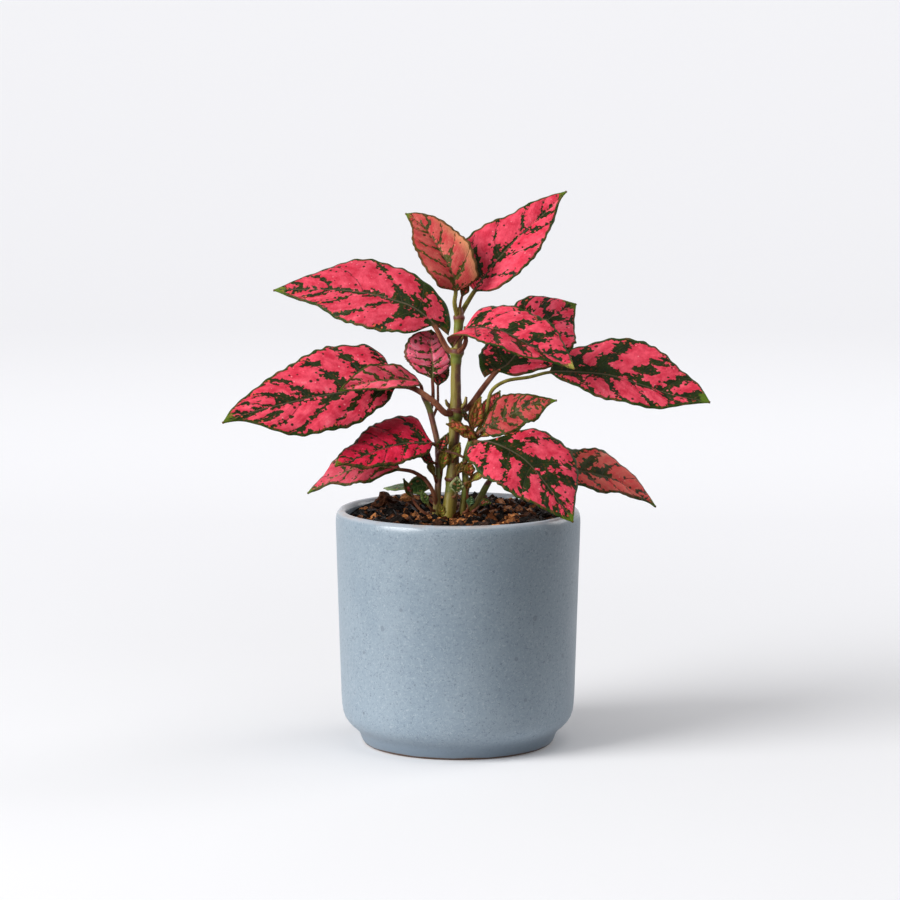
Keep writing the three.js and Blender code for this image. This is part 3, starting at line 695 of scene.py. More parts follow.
stem = {
    "sides": 22,
    "lump": 0.16,
    "routes": {
        "stem_main": [
            [(-4.6, -4, 86, 3.2), (-4.6, -4, 101, 3.3), (-3.6, -3.6, 109, 3.1), (-2.8, -3.2, 116, 2.9),
             (-2.6, -3, 118.6, 3.1), (-2.5, -3, 120, 3.7), (-2.4, -2.8, 121.6, 3.1), (-2.2, -2.2, 127, 2.7),
             (-1.8, -1, 137.5, 2.5), (-1.3, -0.3, 145, 2.8), (-1.1, 0, 149, 3.7), (-1, 0, 151, 4),
             (-1, 0, 152.6, 2.9), (-1, 0, 157.5, 2.4), (-1, 0, 169, 2.2), (-0.8, 0, 174, 2.5),
             (-0.6, 0, 176.6, 3.3), (-0.5, 0, 178, 3.3), (-0.4, 0, 179.4, 2.3), (-0.2, 0, 184, 2),
             (0.3, 0, 189.5, 2.1), (0.5, 0, 192.6, 2.6), (0.6, 0, 194.2, 1.9), (0.7, 0, 197, 1.4)],
            [(-2, 0, 151, 1.2), (-4.6, -0.6, 153.4, 0.9), (-5.6, -0.8, 155.6, 0.5)],
            [(0, 0, 151, 1.3), (3, -1.6, 153.6, 1), (3.7, -2, 157, 0.6)],
            [(0, 0, 180.4, 1), (2.6, -0.8, 185, 0.7), (3, -1, 188.6, 0.5)],
        ],
        "stem_left": [
            [(-10, -4.4, 88, 1.7), (-10, -4.4, 102, 1.7), (-9.4, -3.8, 110, 1.6), (-8.8, -3, 119, 1.5),
             (-8.6, -2.4, 123, 1.8), (-8.4, -2, 126.5, 2.1), (-8.6, -1, 130, 1.7), (-9.2, 0, 136, 1.4),
             (-11, 1, 144, 1.3), (-13, 2, 151.5, 1.4), (-15, 2.6, 155.6, 1.2), (-16.2, 3, 158.5, 1.1)],
            [(-9, -1, 131.4, 1), (-7.4, -4.6, 133, 0.8), (-1.5, -6.4, 132.2, 0.7), (2.2, -6.2, 130.4, 0.6)],
        ],
        "stem_right": [
            [(1.6, -2, 88, 1.5), (1.6, -2, 103, 1.6), (2.6, -2, 110, 1.5), (3.6, -2, 117.5, 1.8),
             (3.2, -2, 122, 1.5), (3, -2, 127, 1.3), (4.6, -2, 134, 1.4), (7, -2, 138.6, 1.9),
             (8.4, -2, 141, 1.7)],
            [(2, -2, 104, 1.4), (6, 0.4, 106, 1.5), (10, 2, 111, 1.6), (12.5, 3, 115.5, 1.5),
             (15, 4, 119.4, 1.2)],
            [(3.6, -2, 117.5, 1.3), (7, 0.4, 120.6, 1.1), (10, 2.4, 123, 0.8)],
        ],
    },
    "looks": {
        # partly each stem's own colours, partly painted light and shade: left is the lighter side towards the
        # key lamp, right the darker side away from it
        "stem_main": {"left": paint(130, 118, 34), "right": paint(90, 44, 26), "foot": paint(144, 128, 40)},
        "stem_left": {"left": paint(138, 84, 64), "right": paint(104, 58, 42), "foot": paint(140, 126, 48)},
        "stem_right": {"left": paint(134, 138, 46), "right": paint(108, 106, 34),
                       "foot": paint(134, 120, 46)},
    },
    "nodes": {"stem_main": (120, 151, 177.6, 192.8), "stem_left": (126.5, 155.6),
              "stem_right": (117.5, 139.4)},  # their heights
    "stepsPerSpan": 8,
    "footFrom": (106, 122),
    "ring": (0.5, 1.4),  # how far from a node its dark ring is full and has faded
    "collar": (3.4, 1.2, 3.4),  # how far below the node the green collar lies, and the same two sizes
    "unevenRing": 2.2,
    "relief": (0.5, 0.4),
    "nodeRing": paint(98, 46, 32),
    "nodeGreen": paint(104, 118, 34),
    "scar": paint(58, 36, 28),
}


def stemTree():
    kinds = {"Sides": "Int", "Lump": "Float", "Material": "Material"}
    tree, given = makeTree("stemSkin", kinds)
    circle = {"Resolution": given["Sides"], "Radius": 1.0}
    ring = addNode(tree, "GeometryNodeCurvePrimitiveCircle", circle).outputs[0]
    radius = addNode(tree, "GeometryNodeInputRadius").outputs[0]
    tubeInputs = {"Curve": given["Geometry"], "Profile Curve": ring, "Scale": radius, "Fill Caps": True}
    tube = addNode(tree, "GeometryNodeCurveToMesh", tubeInputs).outputs[0]
    where = addNode(tree, "GeometryNodeInputPosition").outputs[0]
    facing = addNode(tree, "GeometryNodeInputNormal").outputs[0]
    lumps = centred(tree, noiseAt(tree, vectorCalc(tree, "MULTIPLY", where, (1.0, 1.0, 0.35)), 420))
    rough = pushed(tree, tube, scaled(tree, facing, times(tree, lumps, given["Lump"])))
    smooth = addNode(tree, "GeometryNodeSetShadeSmooth", {"Geometry": rough}).outputs[0]
    endTree(tree, given, smooth)
    return tree


def stemSpline(points):  # fine points with the thickness eased between the given ones
    steps = stem["stepsPerSpan"]
    fine = []
    for i, place in enumerate(makeRoute(points, steps)["samples"]):
        span = min(i // steps, len(points) - 2)
        part = 0.5 - 0.5 * math.cos(math.pi * (i / steps - span))
        fine.append((place, points[span][3] + (points[span + 1][3] - points[span][3]) * part))
    return fine


def stemMaterial(name, look, nodes):
    material, tree, shader = makeMaterial(name + "_skin")
    place = objectPlace(tree)
    height = split(tree, place)[2]
    streaks = noiseAt(tree, vectorCalc(tree, "MULTIPLY", place, (1.0, 1.0, 0.09)), 900, 3.0, 0.6)
    mottle = noiseAt(tree, place, 330, 3.0, 0.6)
    # partly the stem's own reddish side, partly painted light and shade: surfaces facing -x, towards the key
    # lamp, take the lighter left colour, those facing +x the darker right one
    facing = split(tree, addNode(tree, "ShaderNodeNewGeometry").outputs["Normal"])[0]
    turn = plus(tree, facing, times(tree, centred(tree, streaks), 1.6))
    colour = mixColour(tree, fade(tree, turn, -0.45, 0.4), look["left"], look["right"])
    colour = mixColour(tree, fade(tree, mottle, 0.45, 0.75, 0.0, 0.45), colour, look["foot"])
    low, high = stem["footFrom"]
    colour = mixColour(tree, fade(tree, height, low * mm, high * mm, 0.85, 0.0), colour, look["foot"])
    uneven = times(tree, centred(tree, mottle), stem["unevenRing"] * mm)
    drop, inner, outer = (size * mm for size in stem["collar"])
    for node in nodes:
        gap = plus(tree, minus(tree, height, node * mm), uneven)
        below = fade(tree, calc(tree, "ABSOLUTE", plus(tree, gap, drop)), inner, outer, 0.8, 0.0)
        ring = fade(tree, calc(tree, "ABSOLUTE", gap), *(size * mm for size in stem["ring"]), 1.0, 0.0)
        colour = mixColour(tree, below, colour, stem["nodeGreen"])
        colour = mixColour(tree, ring, colour, stem["nodeRing"])
    scars = noiseAt(tree, vectorCalc(tree, "MULTIPLY", place, (1.0, 1.0, 0.5)), 1300)
    colour = tinted(tree, colour, fade(tree, scars, 0.66, 0.74), 0.7, stem["scar"])
    tree.links.new(colour, shader["Base Color"])
    tree.links.new(fade(tree, streaks, 0.3, 0.7, 0.4, 0.58), shader["Roughness"])
    relief = plus(tree, streaks, times(tree, mottle, 0.6))
    strength, depth = stem["relief"]
    tree.links.new(addBump(tree, relief, strength, depth * mm), shader["Normal"])
    return material


stemGrowth = stemTree()
for name, routes in stem["routes"].items():
    skin = stemMaterial(name, stem["looks"][name], stem["nodes"][name])
    curve = polyCurve(name, [stemSpline(points) for points in routes])
    values = {"Sides": stem["sides"], "Lump": stem["lump"] * 2 * mm, "Material": skin}
    tube = growMesh(name + "_grown", curve, stemGrowth, values)
    addPiece(name + "_grown", tube, [name])
    print(name, len(tube.polygons), "faces")


# Leaves: each is one closed skin from its round petiole to its flat tip

leafMesh = {  # in millimetres, or as a share of the blade
    "grid": (88, 37, 0.549),  # rows, columns, and where along the blade it faces the way that is given
    "smallGrid": (34, 17, 0.591),
    "petioleStep": 1.6,
    "taper": (1.15, 0.25),  # the petiole's radius at its start, and how much of it goes
    "petioleGroove": (0.25, 0.4),  # depth and breadth, as shares of its radius
    "flattens": (-1.5, 3.2),  # from before the blade's root to behind it
    "lobeFlattens": (-1.5, -0.2),
    "leastHalf": 0.9,
    "tip": 0.45,
    "thickness": 0.36,
    "thinEdge": 0.45,
    "fullSize": 16,
    "ridge": (0.75, 0.1, 0.8),  # share of the petiole's radius, least height, breadth
    "topRidge": (0.4, 1.1),  # share of the ridge, breadth
    "groove": (0.2, 0.4),  # depth, breadth
    "sideVein": 0.1,
    "quilt": 0.5,
    "quiltFrom": 0.18,
    "edgeRoll": 0.25,
    "rollFrom": 0.86,
    "droop": 0.12,
    "scallops": 12,
    "scallop": 0.02,
    "ragged": (9, 0.03),
    "ripples": (3, 1.3),
    "lobePart": 0.3,
    "stalkColour": (-2, 1.5, 2.5),  # fades between these two, and over this far to the side
    "bandStretch": 0.72,
    "crowding": 1.3,  # columns lie closer together near the midrib
}

tones = {  # each tone is another one with some of its colours changed
    "pink": (None, {
        "deep": (200, 38, 63), "light": (236, 80, 102), "pale": (250, 152, 162), "green": (14, 29, 2),
        "greenLight": (38, 52, 8), "rim": (42, 68, 8), "vein": (112, 92, 76), "veinInPink": (84, 30, 34),
        "fleck": (232, 92, 66), "under": (218, 132, 130), "tip": (92, 118, 22)}),
    "red": ("pink", {
        "deep": (176, 14, 44), "light": (214, 38, 72), "pale": (238, 92, 118), "green": (24, 30, 8),
        "rim": (48, 62, 16)}),
    "young": ("pink", {
        "deep": (204, 58, 62), "light": (222, 102, 92), "pale": (232, 168, 124), "green": (48, 48, 10),
        "greenLight": (84, 78, 22), "rim": (84, 62, 20), "vein": (96, 84, 48), "veinInPink": (84, 50, 28),
        "margin": (232, 184, 122)}),
    "cream": ("pink", {"tip": (168, 164, 76)}),
    "olive": ("pink", {
        "deep": (206, 62, 66), "light": (228, 98, 94), "pale": (238, 158, 138), "green": (42, 44, 10),
        "greenLight": (72, 74, 24)}),
    "dusk": ("pink", {
        "deep": (198, 58, 58), "light": (220, 90, 78), "pale": (234, 140, 118), "green": (32, 44, 6),
        "greenLight": (66, 76, 16)}),
    "rose": ("pink", {
        "deep": (216, 62, 84), "light": (232, 98, 116), "pale": (240, 156, 158), "green": (46, 56, 18),
        "greenLight": (76, 84, 34), "vein": (146, 140, 92)}),
    "green": ("pink", {
        "deep": (150, 60, 56), "light": (176, 92, 80), "pale": (190, 150, 120), "green": (36, 66, 26),
        "greenLight": (66, 102, 44), "rim": (118, 140, 70), "vein": (110, 124, 72), "fleck": (160, 110, 70),
        "under": (120, 140, 90)}),
    "heart": ("green", {"green": (52, 70, 30), "greenLight": (84, 100, 46), "rim": (176, 180, 130)}),
    "pale": ("green", {"green": (74, 108, 72), "greenLight": (106, 140, 92), "rim": (60, 90, 56)}),
    "bract": ("pink", {
        "deep": (204, 70, 56), "light": (230, 116, 84), "pale": (240, 164, 120), "green": (112, 108, 20),
        "greenLight": (156, 146, 48), "rim": (104, 80, 28), "vein": (128, 116, 50),
        "veinInPink": (88, 40, 22)}),
    "leafy": ("bract", {"green": (126, 142, 26), "greenLight": (172, 176, 70)}),
    "dark": ("bract", {"green": (52, 36, 12), "greenLight": (88, 62, 24)}),
}


def toneColours(name):
    parent, changes = tones[name]
    colours = toneColours(parent) if parent else {}
    return {**colours, **{part: paint(*screen) for part, screen in changes.items()}}


# Full leaves. The petiole and rib are routes in millimetres. Left and right are the half widths at 10, 30,
# 50, 70 and 90 % of the blade, and lobes is how far each root lobe reaches back. A side vein has its start
# at the midrib, its end at the edge and the strength of its dark band. A blot has its place along and across
# the blade, its radius and how much green it adds, or how much pink where it is below 0.

# each look's lift factor is painted light and shade: it brightens or darkens that leaf's pinks
leaves = {
    "leaf_top_right": {
        "petiole": [(0.5, 0, 191), (1.6, 1, 194.5), (4.5, 3, 199.5)],
        "rib": [(7.5, 5, 204), (19, 10, 219), (32.5, 17, 232), (40.5, 21, 239), (49, 24, 247.5)],
        "left": (16, 19, 14.2, 10.3, 4.8), "right": (11, 16, 14.5, 9.7, 1.7), "face": (-0.25, -0.77, 0.58),
        "fold": 17, "stalkRadius": 1.1, "phase": 0.1,
        "leftVeins": [(-0.02, 0.05, 0.7), (0.1, 0.35, 1), (0.3, 0.55, 1.2), (0.55, 0.78, 0.6),
                      (0.75, 0.9, 0.9)],
        "rightVeins": [(-0.02, 0.04, 0.7), (0.12, 0.27, 0.9), (0.3, 0.6, 1), (0.57, 0.76, 0.9),
                       (0.74, 0.88, 0.8)],
        "blots": [(0.33, -0.12, 3, 3), (0.42, -0.15, 3, 2.5), (0.2, -0.35, 3, 2), (0.4, -0.6, 7, -3),
                  (0.45, 0.45, 5, -1.5)],
        "look": {"Spine": 0.8, "Band": 0.85, "Green": 0.0, "stalk": "green", "lift": 1.1},
    },
    "leaf_top_left": {
        "petiole": [(0.5, 0, 190), (-0.8, -1.6, 195), (-1.6, -2, 199.5)],
        "rib": [(-1, -2, 204.5), (-2.5, -2, 212), (-5.5, 0, 218), (-10, 5, 225), (-15, 10, 232),
                (-23.6, 15, 238)],
        "left": (9.6, 11.8, 11.6, 9, 3), "right": (11.5, 13.5, 12.4, 8.3, 4), "face": (0.08, -0.87, 0.49),
        "fold": 23, "stalkRadius": 1, "slot": "young_leaf",
        "leftVeins": [(-0.02, 0.08, 0.8), (0.1, 0.3, 1), (0.26, 0.52, 1), (0.45, 0.7, 1), (0.66, 0.86, 0.9)],
        "rightVeins": [(-0.02, 0.08, 0.8), (0.12, 0.32, 1), (0.3, 0.56, 1), (0.5, 0.74, 1), (0.7, 0.88, 0.9)],
        "blots": [(0.3, 0, 3, 2), (0.05, 0, 4, 2), (0.35, 0.8, 6, -3)],
        "look": {"tone": "young", "Spine": 0.55, "Band": 0.4, "Rim": 0.5, "Green": 0.0, "Teeth": 1.6,
                 "Lobes": 1.2, "stalk": "green", "lift": 0.8},
    },
    "leaf_upper_left": {
        "petiole": [(-0.6, 0, 176), (-4.5, 1, 178), (-7.5, 2, 183)],
        "rib": [(-11, 3, 189), (-19.5, 6, 196), (-28, 10, 199), (-42, 16, 202), (-58, 22, 203),
                (-84, 32, 202)],
        "left": (14, 18, 17, 10, 3.5), "right": (12.5, 18, 20, 14.5, 5.2), "face": (-0.14, -0.71, 0.69),
        "fold": 5, "phase": 0.3, "lobes": (0, 8),
        "leftVeins": [(-0.02, 0.03, 0.6), (0.12, 0.3, 1.2), (0.27, 0.62, 1), (0.5, 0.78, 0.8),
                      (0.66, 0.88, 0.9), (0.82, 0.95, 0.7)],
        "rightVeins": [(-0.04, -0.02, 0.6), (0.12, 0.2, 1.3), (0.22, 0.5, 1.2), (0.46, 0.72, 0.12),
                       (0.66, 0.85, 0.6), (0.82, 0.94, 0.8)],
        "blots": [(0.19, 0.3, 6, 3.2), (0.11, 0.62, 6, 2.2), (0.04, 0.85, 7, 2.6), (0.33, 0.68, 6, -3),
                  (0.52, 0.42, 9, -3), (0.2, -0.22, 3, 2.2), (0.42, -0.16, 2.5, 2), (0.33, -0.5, 7, -2.5),
                  (0.14, 0.42, 2.3, -9), (0.2, 0.58, 2, -9), (0.1, 0.75, 1.7, -9), (0.02, 0.6, 1.7, -9),
                  (0.06, 0.3, 1.7, -8)],
        "look": {"Spine": 1.4, "lift": 0.88},
    },
    "leaf_upper_right": {
        "petiole": [(-0.4, -1, 177), (2, -5, 179), (3.5, -6.4, 183)],
        "rib": [(3, -6, 187), (16, -14, 188.6), (23.5, -19, 186.2), (33, -25, 181.6), (51, -34, 173)],
        "left": (15, 15.5, 16.8, 13.8, 5.4), "right": (13, 17, 16, 9.5, 3), "face": (-0.03, -0.49, 0.87),
        "fold": 22, "stalkRadius": 1.1, "phase": 0.6, "lobes": (0, 9),
        "leftVeins": [(-0.02, 0.02, 0.6), (0.05, 0.2, 1.4), (0.16, 0.36, 1), (0.36, 0.54, 1.1),
                      (0.56, 0.76, 1.2), (0.76, 0.9, 0.8)],
        "rightVeins": [(-0.03, 0.02, 0.5), (0.1, 0.3, 0.8), (0.28, 0.5, 1), (0.5, 0.7, 1), (0.7, 0.86, 0.8)],
        "blots": [(0.12, -0.35, 3, 2.6), (0.3, -0.5, 7, -2.6), (0.48, -0.4, 4, -2), (0.93, -0.1, 3, -2),
                  (0.42, 0.05, 4, 1.6), (0.6, 0.1, 4, 1.6), (0.1, 0.5, 5, -2.5), (0.02, 0.9, 9, -3)],
        "look": {"tone": "cream", "Spine": 1.3, "Green": 0.1},
    },
    "leaf_back_right": {
        "petiole": [(-0.5, 0.5, 150), (4.5, 4, 151.5), (10.5, 7, 159), (14, 8, 163.5)],
        "rib": [(17.5, 8, 167.5), (21.5, 11, 169.5), (28, 17, 176), (41, 27, 189), (54, 35, 195.5)],
        "left": (14, 17, 18.5, 17.5, 9), "right": (7.8, 17, 19, 17.6, 6), "face": (-0.03, -0.7, 0.72),
        "fold": 5, "stalkRadius": 1.3, "phase": 0.2, "lobes": (6, 0),
        "leftVeins": [(-0.02, 0.08, 1), (0.12, 0.32, 1), (0.3, 0.52, 1), (0.5, 0.74, 1.1), (0.7, 0.9, 1)],
        "rightVeins": [(-0.02, 0.08, 1), (0.14, 0.34, 1), (0.34, 0.55, 1), (0.52, 0.76, 1.1),
                       (0.72, 0.92, 1)],
        "blots": [(0.12, -0.45, 10, 4), (0.2, 0.1, 5, 3), (0.75, 0.35, 5, -2), (0.88, -0.1, 4, -2),
                  (0.15, 0.6, 2, -9), (0.26, 0.7, 2.2, -9), (0.1, 0.85, 1.7, -9), (0.3, 0.4, 2, -8)],
        "look": {"Green": 0.35, "Spine": 1.6, "lift": 1.42},
    },
    "leaf_far_right": {
        "petiole": [(8.4, -1.6, 140.4), (12.6, -0.8, 150), (15, -0.6, 159.5), (21, -2, 164), (32, -2.4, 166)],
        "rib": [(41, -1, 168), (56, -3, 168), (68, -6, 167), (82, -9, 163), (95, -11, 159), (112, -14, 156)],
        "left": (13, 19, 23, 17, 9), "right": (6.2, 13, 14, 10.2, 3), "face": (-0.01, -0.71, 0.7), "fold": 12,
        "stalkRadius": 0.8, "phase": 0.45,
        "leftVeins": [(-0.02, 0.05, 1), (0.1, 0.25, 1), (0.27, 0.44, 1), (0.5, 0.7, 1.3), (0.7, 0.86, 1.1)],
        "rightVeins": [(-0.02, 0.08, 0.8), (0.12, 0.32, 0.8), (0.32, 0.54, 0.7), (0.52, 0.72, 0.7),
                       (0.72, 0.88, 0.7)],
        "blots": [(0.16, -0.5, 13, 4.5), (0.34, -0.75, 6, 2.5), (0.33, -0.15, 5, 2.5), (0.5, -0.45, 6, -2.5),
                  (0.72, -0.4, 6, -2.5), (0.5, 0.35, 8, -2), (0.12, 0.3, 5, 2), (0.06, -0.62, 1.8, -10),
                  (0.14, -0.78, 1.6, -10), (0.2, -0.55, 2.8, -9), (0.1, -0.36, 1.6, -9),
                  (0.24, -0.84, 1.9, -10), (0.25, -0.3, 2, -9), (0.33, -0.7, 2.2, -9)],
        "look": {"stalk": "green", "Green": 0.6, "Spine": 1.6, "lift": 1.12},
    },
    "leaf_middle_right": {
        "petiole": [(7.4, -2, 139.2), (8.4, -5, 140.4)],
        "rib": [(10.5, -5.2, 142.4), (15.5, -5.4, 145.5), (23.5, -5.2, 149.3), (32, -6.5, 153.7),
                (44, -9.5, 156.4)],
        "left": (4, 10, 10.2, 5, 2), "right": (6.5, 8.6, 7.8, 7.9, 1.8), "face": (-0.41, -0.8, 0.45),
        "fold": 5, "stalkRadius": 0.8, "phase": 0.3,
        "leftVeins": [(-0.02, 0.06, 0.8), (0.12, 0.3, 1), (0.3, 0.5, 1), (0.46, 0.66, 1), (0.62, 0.8, 1),
                      (0.78, 0.92, 0.8)],
        "rightVeins": [(-0.02, 0.06, 0.8), (0.12, 0.28, 1), (0.28, 0.46, 1), (0.44, 0.62, 1), (0.6, 0.78, 1),
                       (0.78, 0.9, 0.8)],
        "blots": [(0.5, -0.4, 4, -1.5), (0.3, 0.5, 4, -1.5)],
        "look": {"tone": "olive", "Green": 0.15, "Spine": 0.9, "Band": 0.7, "Rim": 0.5, "Cell": 0.9,
                 "lift": 0.76},
    },
    "leaf_front_right": {
        "petiole": [(6.8, -2, 138), (8, -5.8, 137.4)],
        "rib": [(9, -9, 137.6), (14, -14, 138), (23.8, -22, 135), (30.2, -26, 131), (38.2, -32, 122.4),
                (50.5, -40, 106)],
        "left": (2.5, 16.8, 20, 16.7, 5.5), "right": (13.7, 18.3, 17.5, 12.3, 4.5),
        "face": (0.03, -0.7, 0.72), "fold": 5,
        "stalkRadius": 1, "phase": 0.7, "lobes": (0, 5),
        "leftVeins": [(-0.02, 0.05, 1), (0.13, 0.26, 1.2), (0.28, 0.46, 1.3), (0.5, 0.68, 1.3),
                      (0.64, 0.82, 1), (0.82, 0.93, 0.9)],
        "rightVeins": [(-0.02, 0.06, 0.8), (0.12, 0.26, 1.2), (0.3, 0.5, 1.2), (0.5, 0.68, 1.2),
                       (0.7, 0.84, 1), (0.83, 0.93, 0.8)],
        "blots": [(0.3, 0.1, 4, 2.4), (0.45, -0.15, 4, 2.6), (0.6, -0.3, 4, 2.4), (0.2, -0.45, 4, 2),
                  (0.38, 0.5, 5, -2), (0.6, 0.45, 5, -2), (0.17, 0.5, 5, -2), (0.5, -0.62, 6, -2)],
        "look": {"Green": 0.4, "Spine": 1.7, "Band": 1.1, "lift": 1.04},
    },
    "leaf_low_right": {
        "petiole": [(15, 4, 118.6), (19, 4.6, 122.4), (28, 4.4, 126.4)],
        "rib": [(39, 5, 127), (53.5, 9, 122.5), (62.5, 13, 120), (71, 17, 117), (90.5, 25, 103.4)],
        "left": (9.5, 12, 13.7, 9.3, 4.5), "right": (6.5, 9, 9.1, 5.6, 1), "face": (0.5, -0.64, 0.58),
        "fold": 10, "stalkRadius": 1, "phase": 0.15,
        "leftVeins": [(-0.02, 0.06, 1), (0.12, 0.3, 1), (0.3, 0.5, 1.2), (0.48, 0.66, 0.9), (0.64, 0.8, 0.8),
                      (0.8, 0.92, 0.7)],
        "rightVeins": [(-0.02, 0.06, 0.8), (0.14, 0.3, 0.8), (0.32, 0.5, 0.7), (0.5, 0.68, 0.7),
                       (0.68, 0.84, 0.6)],
        "blots": [(0.33, -0.35, 6, 4), (0.45, -0.12, 5, 3), (0.25, -0.8, 5, 3), (0.7, -0.3, 5, -2),
                  (0.7, 0.4, 6, -2)],
        "look": {"tone": "dusk", "Green": 0.0, "Spine": 0.9, "Band": 0.8, "lift": 1.9},
    },
    "leaf_far_left": {
        "petiole": [(-1, -0.5, 150), (-5.5, -5, 150), (-11, -6, 155.5), (-21, -4, 161.5)],
        "rib": [(-28, -3, 162), (-39, -6, 162), (-53, -12, 160), (-67, -18, 158), (-90, -27, 153.4),
                (-103.6, -33, 149.2)],
        "left": (11, 16.9, 18.3, 14.6, 2.5), "right": (24.5, 26, 21, 13.8, 6), "face": (0.16, -0.73, 0.66),
        "fold": 4, "stalkRadius": 1.3, "phase": 0.05,
        "leftVeins": [(-0.02, 0.06, 0.9), (0.05, 0.25, 1), (0.17, 0.45, 1), (0.36, 0.68, 1.2),
                      (0.54, 0.8, 0.5), (0.66, 0.9, 1), (0.82, 0.97, 0.8)],
        "rightVeins": [(-0.02, 0.08, 0.7), (0.14, 0.24, 1), (0.28, 0.46, 1.3), (0.5, 0.68, 1), (0.6, 0.86, 1),
                       (0.74, 0.93, 1), (0.88, 0.97, 0.6)],
        "blots": [(0.08, -0.35, 4, 3), (0.27, 0.15, 3, 2.4), (0.06, 0.7, 6, 1.6), (0.36, 0.5, 7, -2),
                  (0.56, 0.4, 6, -2.5), (0.38, -0.45, 6, -2.5), (0.6, -0.4, 6, -2), (0.75, 0.3, 4, -2)],
        "look": {"Spine": 1.7, "lift": 1.15},
    },
    "leaf_middle_left": {
        "petiole": [(-16, 3, 157.6)],
        "rib": [(-17, 0.4, 162.4), (-25.5, -5, 165), (-34, -10, 165.2), (-43.5, -14, 163.8),
                (-53, -19, 161.5)],
        "left": (5, 8, 8, 6, 2), "right": (4, 7.5, 8.3, 7, 2.5), "face": (0.18, -0.72, 0.67), "fold": 30,
        "stalkRadius": 0.9, "phase": 0.3,
        "leftVeins": [(-0.02, 0.06, 0.2), (0.2, 0.4, 0.2), (0.4, 0.62, 0.2), (0.62, 0.8, 0.2),
                      (0.8, 0.92, 0.2)],
        "rightVeins": [(-0.02, 0.06, 0.8), (0.14, 0.36, 1), (0.32, 0.56, 1), (0.5, 0.74, 1),
                       (0.68, 0.9, 0.9)],
        "blots": [(0.35, 0.2, 2.5, 1.5), (0.2, 0.45, 2.5, 1.5)],
        "look": {"tone": "rose", "Green": 0.0, "Spine": 0.6, "Band": 0.6, "Rim": 0.35, "Cell": 0.9,
                 "lift": 1.18},
    },
    "leaf_upright": {
        "petiole": [(-12.6, 1.8, 150), (-11.4, 3.6, 154), (-11.2, 4, 158)],
        "rib": [(-11.5, 6, 164.5), (-11.5, 7, 173.5), (-12.5, 9, 179), (-12, 11, 186)],
        "left": (7.2, 11, 12.8, 11.2, 6.7), "right": (5.6, 8.7, 7.3, 5.5, 3.5), "face": (0.18, -0.96, 0.23),
        "fold": 10, "stalkRadius": 0.8, "wave": 0.5,
        "leftVeins": [(-0.02, 0.1, 1.2), (0.16, 0.34, 1.1), (0.34, 0.52, 1), (0.52, 0.68, 1),
                      (0.68, 0.82, 0.8), (0.82, 0.93, 0.6)],
        "rightVeins": [(-0.02, 0.1, 1.2), (0.14, 0.32, 1.1), (0.32, 0.5, 1), (0.5, 0.66, 1), (0.66, 0.8, 0.8),
                       (0.8, 0.92, 0.6)],
        "blots": [(0.06, -0.4, 5, 3), (0.06, 0.3, 4, 2)],
        "look": {"tone": "rose", "Green": -0.7, "Spine": 0.9, "Band": 0.5, "Rim": 0.5, "Cell": 0.8,
                 "lift": 2.0},
    },
    "leaf_low_left": {
        "petiole": [(-9, -0.3, 134.6), (-10.2, -3.6, 135.6)],
        "rib": [(-11.5, -6, 136.5), (-23.5, -10, 137), (-34, -15, 135), (-43.5, -20, 132), (-54.5, -26, 129)],
        "left": (7.5, 10.5, 10, 7.6, 1.5), "right": (18, 18, 14.2, 9.7, 5.5), "face": (0.13, -0.59, 0.8),
        "fold": 5, "stalkRadius": 0.9, "phase": 0.55, "slot": "red_leaf",
        "leftVeins": [(-0.02, 0.05, 0.8), (0.12, 0.25, 0.9), (0.25, 0.42, 0.9), (0.45, 0.62, 0.4),
                      (0.6, 0.76, 0.8), (0.8, 0.92, 0.5)],
        "rightVeins": [(-0.02, 0.04, 0.6), (0.1, 0.25, 1.1), (0.28, 0.45, 1.1), (0.42, 0.56, 0.4),
                       (0.53, 0.7, 0.9), (0.66, 0.82, 0.8), (0.82, 0.94, 0.6)],
        "blots": [(0.3, 0.12, 3, 2.4), (0.5, 0.1, 3, 2.2), (0.12, 0.15, 3, 2), (0.03, 0.75, 5, 2.6),
                  (0.36, 0.55, 6, -2), (0.6, 0.5, 5, -2), (0.5, -0.4, 5, -2)],
        "look": {"tone": "red", "Green": -0.1, "Spine": 0.9, "Band": 0.9, "Cell": 0.85, "lift": 1.25},
    },
    "leaf_lowest_left": {
        "petiole": [(-9.6, -4, 108), (-10.6, -6, 113), (-14, -6.4, 119.5), (-20, -5, 123.5)],
        "rib": [(-26, -4, 124.5), (-43, -2, 125.6), (-54, 1, 121), (-60, 3, 117.2), (-68, 7, 112.2)],
        "left": (3.4, 9.2, 8.6, 3.2, 1), "right": (7.3, 11.4, 11.9, 9, 3), "face": (-0.33, -0.63, 0.7),
        "fold": 5, "stalkRadius": 0.9, "phase": 0.2,
        "leftVeins": [(-0.02, 0.06, 0.8), (0.14, 0.32, 1), (0.32, 0.5, 0.9), (0.5, 0.68, 0.7),
                      (0.7, 0.85, 0.6)],
        "rightVeins": [(-0.02, 0.06, 0.8), (0.16, 0.34, 1), (0.34, 0.52, 0.9), (0.52, 0.7, 0.7),
                       (0.7, 0.86, 0.7)],
        "blots": [(0.3, -0.3, 4, 1.6), (0.7, 0.5, 5, -2)],
        "look": {"tone": "rose", "Green": -0.1, "Spine": 0.7, "Band": 0.6, "Rim": 0.5, "Cell": 0.9,
                 "lift": 0.98},
    },
}

